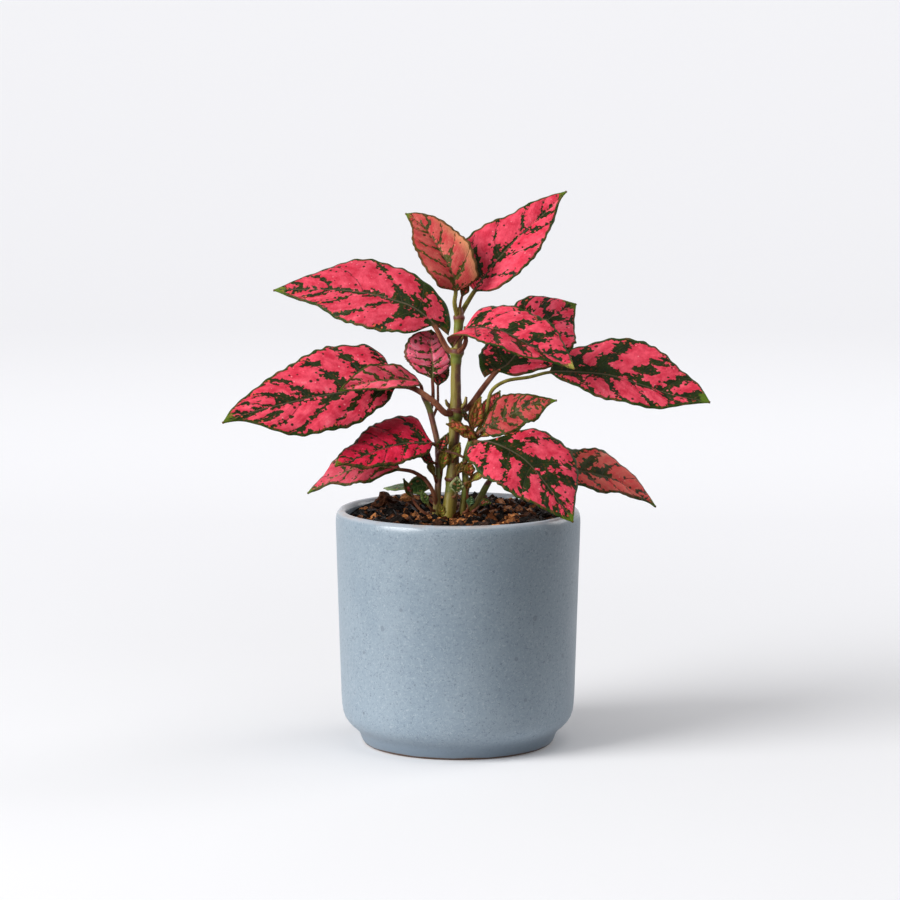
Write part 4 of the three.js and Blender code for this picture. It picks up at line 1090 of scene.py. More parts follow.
smallLeaves = {  # about its widest half width, where it faces, its fold, tone, petiole and rib
    "small_leaf_behind_shoot": (4.5, (0.1, -0.95, 0.3), 12, "pink", [(-11.6, 1.2, 146.6), (-9.2, 5.4, 152.6)],
                                [(-9, 8, 161), (-8, 11, 168), (-6.5, 14, 175)]),
    "small_leaf_shoot_right": (4.6, (-0.2, -0.9, 0.3), 20, "olive", [(7.4, -2, 138.6), (9.6, 1, 141.6)],
                               [(11, 1.4, 145), (14.5, 3.4, 151), (19, 6, 159)]),
    "small_leaf_across": (2.8, (0, -0.8, 0.6), 12, "bract", [(5.4, -2, 136.4), (4.4, -6, 140.4)],
                          [(4, -7.8, 142.8), (0, -8.6, 144.2), (-5.4, -9.6, 145.8)]),
    "small_leaf_pale_edge": (1.6, (0.5, -0.8, 0.2), 15, "red", [(7, -2, 139), (5.6, -4.2, 144)],
                             [(5, -5.6, 146), (3.2, -6, 149), (1.6, -6.4, 152)]),
    "small_leaf_base_green": (5, (0.1, -0.8, 0.6), 8, "green", [(-9.2, -3.4, 113.4), (-11.4, -0.6, 114.6)],
                              [(-12.6, 0.6, 115.4), (-17, 1, 116.6), (-23, 0, 113.6)]),
    "small_leaf_back_rim": (5.4, (0.1, -0.5, 0.86), 6, "green",
                            [(-5.4, -2.6, 104.4), (-10, 4, 107), (-15, 12, 110.6)],
                            [(-20, 19, 112.9), (-27, 29, 112.2), (-34, 39, 110)]),
    "small_leaf_round_red": (3.6, (0.1, -0.75, 0.65), 10, "red", [(-8.4, -2, 126.5), (-10.4, -4.6, 127.4)],
                             [(-11.4, -6.4, 128.4), (-14, -8.4, 130.4), (-17.4, -10, 132)]),
    "small_leaf_curled": (2.8, (0.1, -0.9, 0.4), 18, "red", [(-8.6, -1.2, 129.6), (-8.6, -5.4, 131.6)],
                          [(-8.2, -8, 133.4), (-7.2, -9.6, 136.4), (-6, -10.4, 140.4)]),
    "small_leaf_heart": (3.4, (0, -0.9, 0.4), 8, "heart", [(-3, -3.4, 112.4), (-1.6, -8, 112.6)],
                         [(-0.8, -9.4, 114.6), (-0.5, -10.2, 118.4), (-0.4, -10.8, 122.4)]),
    "small_leaf_base_pale": (2.2, (0.1, -0.9, 0.4), 6, "pale", [(1.6, -2, 104.2), (4, -6.4, 106)],
                             [(5, -7.6, 108.4), (5.6, -8.2, 110.6), (6, -8.6, 113)]),
    "small_leaf_base_left": (1.9, (0.1, -0.9, 0.4), 10, "green", [(-9.9, -4.4, 105.4), (-12, -7.4, 107)],
                             [(-13.4, -8.4, 109.4), (-15, -9.2, 112.6), (-16.4, -9.8, 116)]),
    "small_leaf_narrow": (1.9, (0.2, -0.9, 0.3), 15, "red", [(-10, -4.4, 103.4), (-14.5, -6.8, 105),
                                                             (-19, -8.2, 109.4)],
                          [(-20.4, -8.6, 112.6), (-22.4, -9, 116.6), (-24.4, -9.4, 121.2)]),
    "small_leaf_bud": (2.3, (0, -0.9, 0.4), 15, "young", [(0.6, 0, 195), (1, 0, 198.6)],
                       [(1.8, 0, 202), (3, 0.2, 205), (4.8, 0.6, 208.4)]),
}

greenness = {  # the green share of a small leaf, where its tone isn't near the usual one
    "green": 9.0, "heart": 9.0, "pale": 9.0, "dark": 1.5, "leafy": 0.8, "bract": -0.3,
    "olive": -0.4, "usual": 0.2,
}

youngShoots = {  # leaflets crowded round the main stem, too small for the part's source
    "shoot_node_front": (3.1, (0.1, -0.9, 0.5), 10, "bract", [(-2.6, -3.2, 146.6), (-2, -5, 145.6)],
                         [(0, -6, 144.2), (3.5, -7, 142), (8, -7, 139)]),
    "shoot_node_right": (2.1, (0.3, -0.9, 0.2), 12, "bract", [(6, -2.8, 138.6), (6.4, -4.6, 141)],
                         [(6.6, -5.4, 143.6), (7, -6, 148.4), (8, -6.4, 155)]),
    "shoot_node_back": (2.8, (-0.2, -0.9, 0.2), 12, "bract", [(4.6, 1.5, 139), (5.4, 0.8, 142)],
                        [(6, 0.5, 145), (7.4, 0, 150), (10.4, -0.6, 157)]),
    "shoot_fill_right": (3.4, (0.1, -0.9, 0.3), 14, "bract", [(5.6, -1.6, 138.6), (6.2, -2, 141)],
                         [(7, -2.2, 143), (8.6, -2.4, 148), (10.4, -2.2, 153.4)]),
    "shoot_fill_low": (3.0, (-0.1, -0.9, 0.4), 14, "bract", [(6.8, -3, 138), (8.4, -3.8, 138.8)],
                       [(10, -4.4, 139.6), (13.4, -5, 142.6), (17.4, -5, 146.8)]),
    "shoot_left_red": (2.5, (-0.3, -0.9, 0.3), 26, "red", [(-9, -1.6, 132.6), (-8.6, -3.4, 133.4)],
                       [(-8, -4.4, 134.2), (-6.2, -5.4, 136.8), (-4.2, -5.8, 141.4)]),
    "shoot_left_olive": (2.6, (0.2, -0.9, 0.1), 16, "leafy", [(-7.6, -2, 121.4), (-7.4, -4.2, 123)],
                         [(-7.2, -5.2, 124.8), (-6.4, -6, 129.6), (-5.2, -6, 136)]),
    "shoot_left_low": (1.9, (-0.4, -0.9, 0.2), 16, "leafy", [(-9.6, -2.6, 121), (-10.4, -4.2, 121.6)],
                       [(-11.2, -4.8, 122.6), (-12.2, -5.2, 126), (-12, -5.2, 130)]),
    "shoot_middle": (2.4, (0.1, -0.9, 0.2), 14, "leafy", [(-2.4, -3.2, 127), (-2.4, -5, 128.2)],
                     [(-2.2, -5.8, 129.6), (-1, -6.4, 132.6), (1, -6.4, 137)]),
    "shoot_middle_right": (2.3, (0.5, -0.8, 0.3), 16, "bract", [(2.4, -2.6, 127), (3.4, -4.4, 127.6)],
                           [(4, -5.2, 128.4), (5, -6, 131.6), (5.4, -6, 135.6)]),
    "shoot_collar": (2.3, (-0.1, -0.9, 0.4), 12, "dark", [(-1.4, -3.2, 120.8), (-1, -4.6, 121.6)],
                     [(-0.4, -5.4, 122.8), (0.6, -6, 125.2), (1.8, -6, 128.4)]),
    "shoot_right_round": (2.7, (0.1, -0.9, 0.4), 12, "bract", [(6.4, -2, 119.6), (6.2, -4, 120.6)],
                          [(5.8, -5.2, 121.8), (5.2, -6.2, 124.4), (5.2, -6.4, 128.6)]),
    "shoot_right_green": (2.0, (-0.2, -0.8, 0.6), 12, "leafy", [(2.8, -3.2, 117.8), (4.8, -5, 118.8)],
                          [(6.6, -5.6, 119.8), (9, -6.2, 121.8), (12.4, -6.6, 124.6)]),
    "shoot_foot_stalk": (1.7, (0.2, -0.9, 0.3), 12, "bract",
                         [(4.2, -3.4, 101.2), (4.6, -3.8, 107), (4.2, -4.2, 113)],
                         [(4, -4.8, 115.4), (4.6, -5.6, 117.6), (6, -6, 119.8)]),
    "shoot_foot_green": (1.8, (-0.2, -0.9, 0.4), 12, "leafy", [(-4.6, -3.6, 101.2), (-5.4, -5.2, 102)],
                         [(-5.9, -6, 103), (-6.9, -6.4, 105.6), (-8.2, -6.6, 109.4)]),
    "shoot_foot_right": (1.9, (0.2, -0.9, 0.5), 12, "dusk", [(5.6, -2.6, 104.6), (8, -4.2, 106.4)],
                         [(9.6, -4.8, 108.2), (12, -5.6, 110), (14.8, -6.2, 109.6)]),
    "shoot_foot_left": (1.4, (0.1, -0.9, 0.4), 12, "leafy", [(-9.8, -4.4, 118.8), (-10.4, -5.4, 121)],
                        [(-10.8, -5.8, 122.4), (-11.6, -6, 125.4), (-12.6, -6, 128.6)]),
}
smallShape = (0.64, 0.95, 0.97, 0.7, 0.27)
smallVeins = [(-0.02, 0.08, 0.8), (0.14, 0.32, 1), (0.34, 0.54, 1), (0.54, 0.74, 1), (0.74, 0.9, 0.8)]
smallSpec = {"stalkRadius": 0.6, "wave": 0.2, "leftVeins": smallVeins, "rightVeins": smallVeins}
smallLook = {"Spine": 0.5, "Band": 0.4, "Rim": 0.35, "Cell": 0.7, "Lobes": 1.6}
widthStations = [0, 0.1, 0.3, 0.5, 0.7, 0.9, 1]


def halfWidth(widths, t):  # a smooth edge through the half widths read along the blade
    values = [max(0.3 * widths[0], 1.4 * widths[0] - 0.4 * widths[1]), *widths, 0]
    last = len(values) - 1
    i = min(bisect.bisect_right(widthStations, t), last) - 1

    def slope(k):
        low, high = max(0, k - 1), min(last, k + 1)
        return (values[high] - values[low]) / (widthStations[high] - widthStations[low])

    gap = widthStations[i + 1] - widthStations[i]
    u = (t - widthStations[i]) / gap
    eased = values[i] * (1 - u) ** 2 * (1 + 2 * u) + values[i + 1] * u * u * (3 - 2 * u)
    bend = gap * u * (1 - u) * (slope(i) * (1 - u) - slope(i + 1) * u)
    return max(0, eased + bend) * math.sqrt(1 - (1 - min(1, t / 0.12)) ** 2)


# Runs 0, 1, 2... from one side vein to the next, with the gap there and how dark the band is
def veinNumber(veins, t, v):
    crossings = [start + (end - start) * abs(v) ** 1.25 for start, end, _ in veins]
    i = min(max(bisect.bisect_right(crossings, t) - 1, 0), len(crossings) - 2)
    gap = crossings[i + 1] - crossings[i]
    part = (t - crossings[i]) / gap
    strength = veins[i][2] + (veins[i + 1][2] - veins[i][2]) * smoothStep(part, 0.35, 0.65)
    return i + part, gap, strength


def buildLeaf(name, spec, small=False):
    rows, columns, facingAt = leafMesh["smallGrid" if small else "grid"]
    route = makeRoute([*spec["petiole"], *spec["rib"]])
    bladeStart = distanceOf(route, len(spec["petiole"]))
    bladeLength = route["length"] - bladeStart
    stalkRows = max(3, round(bladeStart / leafMesh["petioleStep"]))
    evenly = [i / (rows - 1) for i in range(rows)]
    along = [(e + 0.5 - 0.5 * math.cos(math.pi * e)) / 2 for e in evenly]
    stations = [bladeStart * i / stalkRows for i in range(stalkRows)]
    stations += [bladeStart + t * bladeLength for t in along]
    middle = stalkRows + min(range(rows), key=lambda i: abs(along[i] - facingAt))
    frames = framesAlong(route, stations, middle, spec["face"])
    fold = math.radians(spec["fold"])
    stalkRadius, wave, phase = spec.get("stalkRadius", 1.2), spec.get("wave", 0.9), spec.get("phase", 0)
    steps = [1 - 2 * i / (columns - 1) for i in range(columns)]
    across = [math.copysign(abs(s) ** leafMesh["crowding"], s) for s in steps]
    lobes = spec.get("lobes", (0, 0))
    sides = [(spec[side], lobe, spec[side + "Veins"]) for side, lobe in zip(("left", "right"), lobes)]
    scale = max(*spec["left"], *spec["right"])
    fine = min(1, scale / leafMesh["fullSize"])
    ridgeShare, ridgeLeast, ridgeBreadth = leafMesh["ridge"]
    topShare, topBreadth = leafMesh["topRidge"]
    grooveDepth, grooveBreadth = leafMesh["groove"]
    channelDepth, channelBreadth = leafMesh["petioleGroove"]
    raggedness, ragged = leafMesh["ragged"]
    ripples, slanting = leafMesh["ripples"]
    widest, lost = leafMesh["taper"]
    stalkFrom, stalkTo, aside = leafMesh["stalkColour"]
    narrow = stalkRadius * leafMesh["leastHalf"]
    lopsided = Vector((scale, phase * 7, len(name)))
    blots = [(t * bladeLength, v * halfWidth(sides[v > 0][0], t), radius, amount)
             for t, v, radius, amount in spec.get("blots", [])]
    points, layout, ribs, pattern, stalks, unders = [], [], [], [], [], []
    for (origin, side, face, forward), station in zip(frames, stations):
        reach = station - bladeStart
        t = max(0, reach / bladeLength)
        least = narrow + (leafMesh["tip"] - narrow) * min(1, t * 4)
        ridge = stalkRadius * ridgeShare * (1 - t) ** 1.5 + ridgeLeast
        taper = widest - lost * min(1, station / bladeStart)
        halves = [max(least, 0.3 * lobe * (1 - t * 10), halfWidth(widths, t)) for widths, lobe, _ in sides]
        for under in (False, True):
            for i in range(columns):
                v = across[columns - 1 - i] if under else across[i]
                _, lobe, veins = sides[v > 0]
                half = halves[v > 0]
                flatness = smoothStep(reach, *leafMesh["lobeFlattens" if lobe else "flattens"])
                edgeNoise = noise.noise(Vector((t * raggedness, math.copysign(2, v), 0)) + lopsided)
                scallop = leafMesh["scallop"] * math.sin(2 * math.pi * (t * leafMesh["scallops"] + phase))
                half *= 1 + (scallop + ragged * edgeNoise) * abs(v)
                back = lobe * v * v * max(0, 1 - t / leafMesh["lobePart"]) ** 2 * flatness
                ripple = math.sin(2 * math.pi * (ripples * t + phase) + slanting * v)
                ripple *= wave * math.sin(math.pi * t)
                x = v * half * math.cos(fold)
                y = half * (abs(v) * math.sin(fold) - leafMesh["droop"] * v * v) + ripple * v * v
                number, gap, strength = veinNumber(veins, t, v)
                between = abs((number + 0.5) % 1 - 0.5) * 2
                swell = (1 - (1 - between) ** 2) * (1 - abs(v) ** 5) * math.sin(math.pi * t) ** 0.5
                swell *= leafMesh["quilt"] * smoothStep(abs(v), 0, leafMesh["quiltFrom"])
                y += fine * (swell - leafMesh["edgeRoll"] * smoothStep(abs(v), leafMesh["rollFrom"], 1))
                thick = leafMesh["thickness"] / 2 * (1 - leafMesh["thinEdge"] * abs(v) ** 8)
                if under:
                    sideVein = leafMesh["sideVein"] * (1 - between) ** 6 * fine
                    y -= thick + ridge * math.exp(-(x / ridgeBreadth) ** 2) + sideVein
                else:
                    groove = grooveDepth * math.exp(-(x / grooveBreadth) ** 2)
                    y += thick + (ridge * topShare * math.exp(-(x / topBreadth) ** 2) - groove) * (1 - t)
                angle = math.pi * (2 * (i + columns * under) + 1) / (2 * columns)
                cx, cy = stalkRadius * taper * math.cos(angle), stalkRadius * taper * math.sin(angle)
                if not under:
                    channel = math.exp(-(cx / (channelBreadth * stalkRadius)) ** 2)
                    cy -= channelDepth * stalkRadius * channel
                x, y = cx + (x - cx) * flatness, cy + (y - cy) * flatness
                points.append(origin + side * x + face * y - forward * back)
                spot = (reach - back, v * half)
                blot = sum(amount * math.exp(-((spot[0] - a) ** 2 + (spot[1] - b) ** 2) / radius ** 2)
                           for a, b, radius, amount in blots)
                layout.append((*spot, t))
                ribs.append((number, gap * bladeLength * leafMesh["bandStretch"], (1 - abs(v)) * half))
                pattern.append((strength, blot, 0))
                spread = 1 if lobe and reach > -2 else flatness
                fromStalk = smoothStep(abs(v * half) * spread, stalkRadius, stalkRadius + aside)
                stalks.append((1 - smoothStep(reach, stalkFrom, stalkTo)) * (1 - fromStalk))
                unders.append(1.0 if under and 0 < i < columns - 1 else 0.0)
    count = 2 * columns
    faces = ringFaces(len(stations), count)
    for first, flip in ((0, False), (len(stations) * count - count, True)):  # close both ends
        points.append(sum(points[first:first + count], Vector()) / count)
        for values in (layout, ribs, pattern, stalks, unders):
            values.append(values[first])
        for i in range(count):
            a, b = first + i, first + (i + 1) % count
            faces.append((len(points) - 1, b, a) if flip else (len(points) - 1, a, b))
    mesh = smoothMesh(name, points, faces)
    for label, values in (("layout", layout), ("ribs", ribs), ("pattern", pattern)):
        flat = [n for value in values for n in value]
        mesh.attributes.new(label, "FLOAT_VECTOR", "POINT").data.foreach_set("vector", flat)
    for label, values in (("stalk", stalks), ("under", unders)):
        mesh.attributes.new(label, "FLOAT", "POINT").data.foreach_set("value", values)
    return mesh


markingSizes = {  # in millimetres on the leaf
    "seedStep": 37.0,
    "blocks": (7.0, 0.72, (1.5, 0.9, 0.0)),  # step from vein to vein, squeeze across, bend
    "teeth": ((1.2, 1.2, 0.0), 0.5, 0.42),  # bend, scale, level
    "band": {"across": (1.5, 0.6), "uneven": (0.25, 1.75)},  # at the midrib and the edge, least and most
    "spine": {"along": (1.25, 0.55), "uneven": (0.4, 1.7)},
    "rim": (0.4, 1.9),
    "coarse": (0.16, 1.8),  # scale, amount
    "islands": (0.84, 1.3),  # where a block's luck is above this, this much more pink
    "blotShare": 0.42,
    "edge": (-0.05, 0.08),
    "rib": (0.42, 0.12),  # half width of the pale midrib at the root and at the tip
    "vein": (0.1, 0.34),
    "net": ((0.8, 0.8, 0.0), 0.62, 0.11),  # bend, scale, width of its threads
    "spots": (3.8, 0.3, 11.0, 0.06),  # distance, how many, seed and least size, as shares of the distance
    "flecks": (2.1, 0.45, 29.0, 0.15),
    # painted glints: pale dots that stand in for tiny highlights on the pink
    "glints": (2.9, 0.25, 47.0, 0.0),
}


def markingsGroup():  # pink blocks between dark side veins, with toothed edges, spots and flecks
    inputs = {"Layout": None, "Ribs": None, "Pattern": None, "Seed": 0.0, "Green": 0.25, "Spine": 1.2,
              "Band": 1.3, "Rim": 0.7, "Cell": 1.0, "Corners": 0.3, "Ragged": 0.4, "Lobes": 1.8, "Teeth": 2.3}
    outputs = ["Pink", "Rim", "Tip", "Point", "Margin", "Vein", "Spine", "Spots", "Flecks", "Glints", "Tone",
               "Net", "Relief"]
    tree, given, result = makeGroup("leafMarkings", inputs, outputs)
    along, across, part = split(tree, given["Layout"])
    number, gap, edge = split(tree, given["Ribs"])
    strength, blot, _ = split(tree, given["Pattern"])
    shift = times(tree, given["Seed"], markingSizes["seedStep"])
    flat = join(tree, plus(tree, along, shift), across, 0.0)
    bend = shake(tree, flat, 0.6)

    def bentCells(amount, base, scale, **settings):  # uneven cells in a plane, drawn along the bend
        place = vectorCalc(tree, "MULTIPLY_ADD", bend, amount, base)
        return cellsAt(tree, place, scale, voronoi_dimensions="2D", **settings)

    step, squeeze, blockBend = markingSizes["blocks"]
    straight = join(tree, calc(tree, "MULTIPLY_ADD", number, step, shift), times(tree, across, squeeze), 0.0)
    cells = bentCells(blockBend, straight, calc(tree, "DIVIDE", 1.0, given["Cell"]))
    cellX, cellY, _ = split(tree, cells["Position"])
    luck = addNode(tree, "ShaderNodeSeparateColor", {0: cells["Color"]}).outputs[0]
    cellNumber = calc(tree, "DIVIDE", minus(tree, cellX, shift), step)
    cellAcross = calc(tree, "ABSOLUTE", calc(tree, "DIVIDE", cellY, squeeze))
    cellEdge = plus(tree, edge, minus(tree, calc(tree, "ABSOLUTE", across), cellAcross))
    breadth = calc(tree, "MAXIMUM", plus(tree, cellAcross, cellEdge), 1.0)
    reach = calc(tree, "DIVIDE", cellAcross, breadth, clamp=True)

    def veinGap(value):
        half = centred(tree, calc(tree, "FRACT", plus(tree, value, 0.5)))
        return times(tree, calc(tree, "ABSOLUTE", half), gap)

    toothBend, toothScale, level = markingSizes["teeth"]
    tooth = bentCells(toothBend, flat, toothScale)["Distance"]
    teeth = times(tree, minus(tree, level, tooth), given["Teeth"])
    whole = calc(tree, "MULTIPLY_ADD", calc(tree, "ROUND", cellNumber), 5.1, shift)
    uneven = noiseAt(tree, join(tree, whole, times(tree, cellY, 0.42), 0.0), 1.0, 1.0)
    band, spine = markingSizes["band"], markingSizes["spine"]
    bandWidth = times(tree, given["Band"], mixNumber(tree, reach, *band["across"]))
    bandWidth = times(tree, bandWidth, fade(tree, uneven, 0.3, 0.7, *band["uneven"]))
    mixedNumber = mixNumber(tree, given["Corners"], number, cellNumber)
    mixedAcross = mixNumber(tree, given["Corners"], calc(tree, "ABSOLUTE", across), cellAcross)
    fromBand = minus(tree, veinGap(mixedNumber), times(tree, bandWidth, strength))
    spineWave = noiseAt(tree, join(tree, cellX, 0.0, 3.0), 0.35, 1.0)
    spineWidth = times(tree, given["Spine"], mixNumber(tree, part, *spine["along"]))
    spineWidth = times(tree, spineWidth, fade(tree, spineWave, 0.3, 0.7, *spine["uneven"]))
    fromSpine = minus(tree, mixedAcross, spineWidth)
    rimWidth = times(tree, given["Rim"], fade(tree, uneven, 0.2, 0.8, *markingSizes["rim"]))
    fromRim = minus(tree, mixNumber(tree, 0.5, edge, cellEdge), rimWidth)
    nearest = calc(tree, "MINIMUM", calc(tree, "MINIMUM", fromBand, fromSpine), fromRim)
    coarseScale, coarseAmount = markingSizes["coarse"]
    coarse = times(tree, centred(tree, noiseAt(tree, cells["Position"], coarseScale, 1.0)), coarseAmount)
    ragged = times(tree, centred(tree, luck), given["Ragged"])
    lobePlace = join(tree, calc(tree, "MULTIPLY_ADD", number, 5.0, shift), times(tree, across, 0.6), 0.0)
    lobes = times(tree, centred(tree, noiseAt(tree, lobePlace, 0.95, 1.0, 0.4)), given["Lobes"])
    ragged = plus(tree, plus(tree, ragged, lobes), teeth)
    rare, gain = markingSizes["islands"]
    ragged = calc(tree, "MULTIPLY_ADD", calc(tree, "GREATER_THAN", luck, rare), gain, ragged)
    greenShare = calc(tree, "MULTIPLY_ADD", blot, markingSizes["blotShare"], given["Green"])
    field = minus(tree, plus(tree, nearest, plus(tree, coarse, ragged)), greenShare)
    tree.links.new(fade(tree, field, *markingSizes["edge"]), result["Pink"])
    rimLine = fade(tree, minus(tree, edge, times(tree, uneven, 0.9)), 0.6, 0.85, 1.0, 0.0)
    tipEdge = calc(tree, "MULTIPLY_ADD", centred(tree, luck), 0.05, part)
    tree.links.new(rimLine, result["Rim"])
    tree.links.new(fade(tree, tipEdge, 0.93, 0.95), result["Tip"])
    tree.links.new(fade(tree, part, 0.985, 0.997), result["Point"])
    tree.links.new(fade(tree, minus(tree, across, edge), 0.0, 13.0), result["Margin"])
    line = fade(tree, veinGap(number), *markingSizes["vein"], 1.0, 0.0)
    broken = fade(tree, noiseAt(tree, flat, 0.35, 1.0), 0.4, 0.6, 0.25, 1.0)
    broken = times(tree, broken, fade(tree, reach, 0.6, 1.0, 1.0, 0.3))
    tree.links.new(times(tree, line, broken), result["Vein"])
    rib = minus(tree, calc(tree, "ABSOLUTE", across), mixNumber(tree, part, *markingSizes["rib"]))
    tree.links.new(fade(tree, rib, -0.1, 0.14, 1.0, 0.0), result["Spine"])

    def dots(size, share, seedStep, least):
        where = vectorCalc(tree, "ADD", flat, (seedStep, seedStep * 2, 0.0))
        found = cellsAt(tree, where, 1 / size, voronoi_dimensions="2D")
        chance, large, _ = addNode(tree, "ShaderNodeSeparateColor", {0: found["Color"]}).outputs
        wide = calc(tree, "MULTIPLY_ADD", large, 0.14, least)
        disc = fade(tree, minus(tree, found["Distance"], wide), -0.03, 0.04, 1.0, 0.0)
        return times(tree, disc, calc(tree, "LESS_THAN", chance, share))

    tree.links.new(dots(*markingSizes["spots"]), result["Spots"])
    nearRim = fade(tree, edge, 2.2, 5.5, 1.0, 0.1)
    tree.links.new(times(tree, dots(*markingSizes["flecks"]), nearRim), result["Flecks"])
    # painted glints: small pale dots standing in for tiny highlights
    tree.links.new(dots(*markingSizes["glints"]), result["Glints"])
    # the tone: partly the leaf's own uneven colour, partly painted shade and sheen, with light streaks along
    # the side veins
    slant = join(tree, times(tree, plus(tree, number, shift), 3.2), times(tree, across, 0.14), 0.0)
    tone = mixNumber(tree, 0.45, noiseAt(tree, flat, 0.2, 3.0, 0.6), noiseAt(tree, slant, 1.0, 3.0, 0.6))
    tree.links.new(tone, result["Tone"])
    netBend, netScale, width = markingSizes["net"]
    net = bentCells(netBend, flat, netScale, feature="DISTANCE_TO_EDGE")["Distance"]
    threads = fade(tree, net, 0.0, width, 1.0, 0.0)
    tree.links.new(threads, result["Net"])
    low = plus(tree, times(tree, threads, 0.35), times(tree, line, 0.8))
    grain = noiseAt(tree, flat, 3.2, 2.0)
    tree.links.new(minus(tree, times(tree, grain, 0.35), low), result["Relief"])
    return tree


leafPaint = {  # marking, share, and the colour it lays over the pink, over the green and over both
    # the glint dots lay the pale colour over the pink as painted highlights
    "pink": (("Net", 0.12, "deep"), ("Glints", 0.55, "pale"), ("Vein", 0.75, "veinInPink")),
    "green": (("Flecks", 0.9, "fleck"), ("Vein", 0.14, "vein")),
    "both": (("Rim", 0.85, "rim"), ("Spine", 0.5, "vein"), ("Tip", 0.85, "tip"), ("Point", 0.7, "point")),
    "margin": 0.55,
    "spots": 0.95,
    "under": 0.55,
    "roughness": {"pink": 0.52, "green": 0.42},
    "specular": 0.14,
    "relief": (0.6, 0.5),  # strength, depth in millimetres
}


def leafMaterial(name, look, seed, markings):
    tone = toneColours(look.get("tone", "pink"))
    # painted light and shade: each leaf's pinks are scaled by a factor of its own, lighter where the leaf
    # gets little light, darker where it gets much
    for key in ("deep", "light", "pale"):
        tone[key] = [min(1, part * look.get("lift", 1)) for part in tone[key]]
    tone["point"] = petioles["brown"][0]
    material, tree, shader = makeMaterial(name + "_skin")
    inputs = {label.title(): attribute(tree, label, "Vector") for label in ("layout", "ribs", "pattern")}
    inputs.update((key, value) for key, value in look.items() if key.istitle())
    marks = useGroup(tree, markings, {**inputs, "Seed": seed})

    def layered(colour, part):
        for marking, share, tint in leafPaint[part]:
            colour = tinted(tree, colour, marks[marking], share, tone[tint])
        return colour

    isPink = marks["Pink"]
    # partly the leaf's own uneven colour, partly painted shade and sheen: the tone noise moves the pink
    # between deep, light and pale and the green between dark and light
    pale = fade(tree, marks["Tone"], 0.36, 0.62)
    pink = mixColour(tree, pale, tone["deep"], tone["light"])
    pink = mixColour(tree, fade(tree, marks["Tone"], 0.58, 0.72, 0.0, 0.6), pink, tone["pale"])
    pink = layered(pink, "pink")
    green = layered(mixColour(tree, pale, tone["green"], tone["greenLight"]), "green")
    if "margin" in tone:
        pink = tinted(tree, pink, marks["Margin"], leafPaint["margin"], tone["margin"])
    colour = mixColour(tree, isPink, green, pink)
    spots = times(tree, marks["Spots"], isPink)
    colour = layered(tinted(tree, colour, spots, leafPaint["spots"], tone["green"]), "both")
    colour = tinted(tree, colour, attribute(tree, "under"), leafPaint["under"], tone["under"])
    streak = noiseAt(tree, vectorCalc(tree, "MULTIPLY", objectPlace(tree), (1.0, 1.0, 0.3)), 320, 1.0)
    stalk = mixColour(tree, fade(tree, streak, 0.25, 0.75), *petioles[look.get("stalk", "brown")])
    colour = mixColour(tree, attribute(tree, "stalk"), colour, stalk)
    tree.links.new(colour, shader["Base Color"])
    rough = mixNumber(tree, isPink, leafPaint["roughness"]["green"], leafPaint["roughness"]["pink"])
    rough = plus(tree, rough, fade(tree, marks["Tone"], 0.35, 0.65, 0.05, -0.06))
    tree.links.new(rough, shader["Roughness"])
    shader["Specular IOR Level"].default_value = leafPaint["specular"]
    strength, depth = leafPaint["relief"]
    tree.links.new(addBump(tree, marks["Relief"], strength, depth * mm), shader["Normal"])
    return material


petioles = {
    "brown": (paint(112, 54, 40), paint(158, 104, 76)),
    "green": (paint(104, 96, 36), paint(140, 134, 60)),
}
markings = markingsGroup()
for number, (name, spec) in enumerate(leaves.items(), 1):
    blade = buildLeaf(name, spec)
    blade.materials.append(leafMaterial(name, spec["look"], number, markings))
    addPiece(name + "_blade", blade, [name])
for number, (name, values) in enumerate({**smallLeaves, **youngShoots}.items(), 20):
    size, face, fold, tone, stalk, rib = values
    shape = [size * part for part in smallShape]
    spec = {**smallSpec, "petiole": stalk, "rib": rib, "left": shape, "right": shape, "face": face,
            "fold": fold}
    look = {**smallLook, "tone": tone, "Green": greenness.get(tone, greenness["usual"])}
    blade = buildLeaf(name, spec, small=True)
    blade.materials.append(leafMaterial(name, look, number, markings))
    addPiece(name + "_blade", blade, [name] if name in smallLeaves else ())
print("leaves grown")


# Floor, lamps and sky

studio = {
    "floor": paint(238, 238, 240), "floorDark": paint(235, 235, 237), "sky": 0.18,
    "skyColour": (0.99, 0.99, 1.0, 1), "nearPaper": 0.12, "paperRoughness": 0.8, "sheetSides": 96,
    "flatTo": 1.9, "bend": 0.7, "bendSteps": 16, "wallHeights": (1.2, 2.2),  # in metres
    "farPaper": paint(140, 140, 142), "glow": paint(210, 210, 213), "glowFrom": (-0.15, 0.75),
    "lamps": {  # place, what it points at, size in metres, power
        "windowLeft": ((-1.89, -1.1, 1.25), (0, 0, 0.12), 1.7, 80),
        "overhead": ((0.3, -0.2, 2.1), (0, 0, 0.12), 1.5, 11),
        "edgeRight": ((1.7, 0.9, 0.9), (0, 0, 0.12), 1.1, 9),
        "backdrop": ((0, 0.6, 1.3), (0, 2.6, 1.4), 1.5, 15),
    },
}


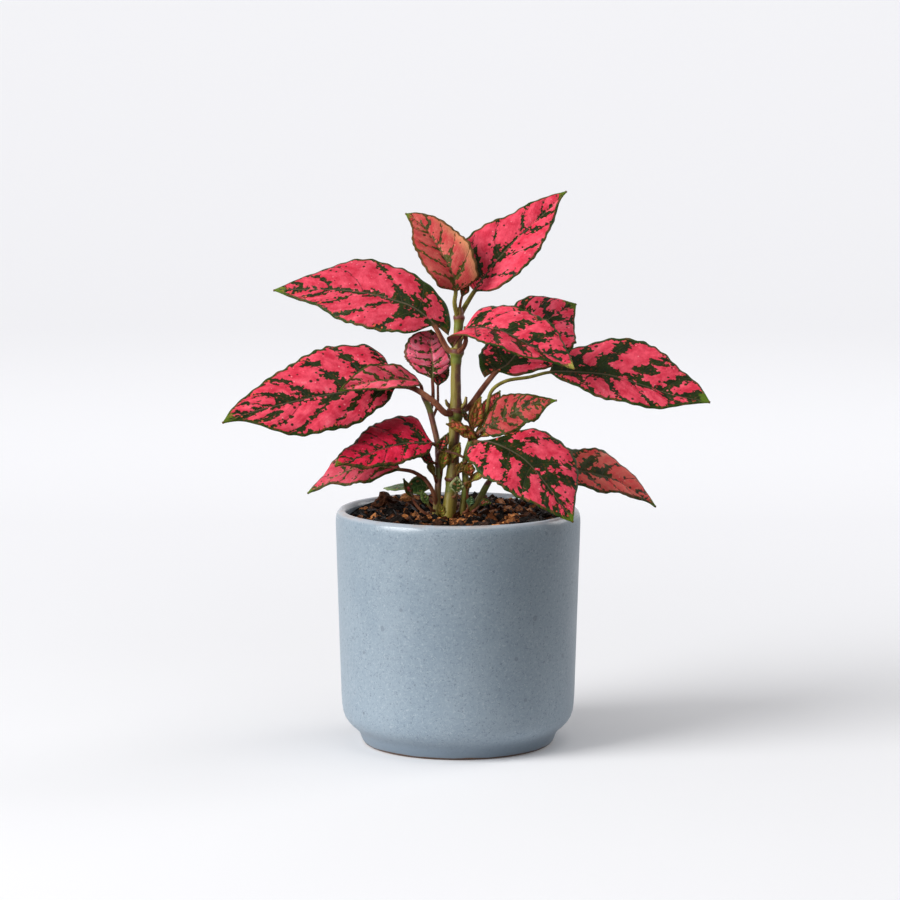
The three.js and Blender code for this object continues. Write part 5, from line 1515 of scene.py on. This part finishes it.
def pointLamp(name, place, target, size, power):
    lamp = bpy.data.lights.new(name, "AREA")
    lamp.shape = "DISK"
    lamp.size = size
    lamp.energy = power
    holder = bpy.data.objects.new(name, lamp)
    holder.location = place
    holder.rotation_euler = (Vector(target) - Vector(place)).to_track_quat("-Z", "Y").to_euler()
    bpy.context.scene.collection.objects.link(holder)


def turnedSheet(name, outline):  # rings of radius and height in metres
    count = studio["sheetSides"]
    angles = [2 * math.pi * k / count for k in range(count)]
    points = [(r * math.cos(a) / mm, r * math.sin(a) / mm, z / mm) for r, z in outline for a in angles]
    return smoothMesh(name, points, ringFaces(len(outline), count))


paper, tree, shader = makeMaterial("paperFloor")
spot = objectPlace(tree)
away = addNode(tree, "ShaderNodeVectorMath", {0: spot}, operation="LENGTH").outputs["Value"]
away = fade(tree, away, *studio["glowFrom"])
cloud = fade(tree, noiseAt(tree, spot, 3.0), 0.3, 0.7)
paperTone = mixColour(tree, cloud, studio["floorDark"], studio["floor"])
tree.links.new(mixColour(tree, away, paperTone, studio["farPaper"]), shader["Base Color"])
# painted light: the paper glows more with distance from the pot, which keeps the backdrop evenly bright, and
# the weaker glow near the pot lightens its shadow
tree.links.new(mixColour(tree, away, (0, 0, 0), studio["glow"]), shader["Emission Color"])
shader["Emission Strength"].default_value = 1.0
shader["Roughness"].default_value = studio["paperRoughness"]
near, flatTo, bend, steps = [studio[key] for key in ("nearPaper", "flatTo", "bend", "bendSteps")]
turns = [math.pi / 2 * i / steps for i in range(1, steps + 1)]
bow = [(flatTo + bend * math.sin(a), bend - bend * math.cos(a)) for a in turns]
wall = [(flatTo + bend, height) for height in studio["wallHeights"]]
sheets = {"paperNear": [(0.0001, 0), (near, 0)],
          "paperSweep": [(near, 0), (0.6, 0), (1.4, 0), (flatTo, 0), *bow, *wall]}
for name, outline in sheets.items():
    sheet = bpy.data.objects.new(name, turnedSheet(name, outline))
    sheet.data.materials.append(paper)
    sheet.visible_diffuse = name == "paperNear"  # only the paper under the pot throws light back at it
    bpy.context.scene.collection.objects.link(sheet)
for name, lamp in studio["lamps"].items():
    pointLamp(name, *lamp)

sky = bpy.data.worlds.new("sky")
sky.use_nodes = True
light = sky.node_tree.nodes["Background"].inputs
light["Color"].default_value = studio["skyColour"]
light["Strength"].default_value = studio["sky"]
bpy.context.scene.world = sky
bpy.context.scene.view_settings.view_transform = "Standard"
print("studio lit")
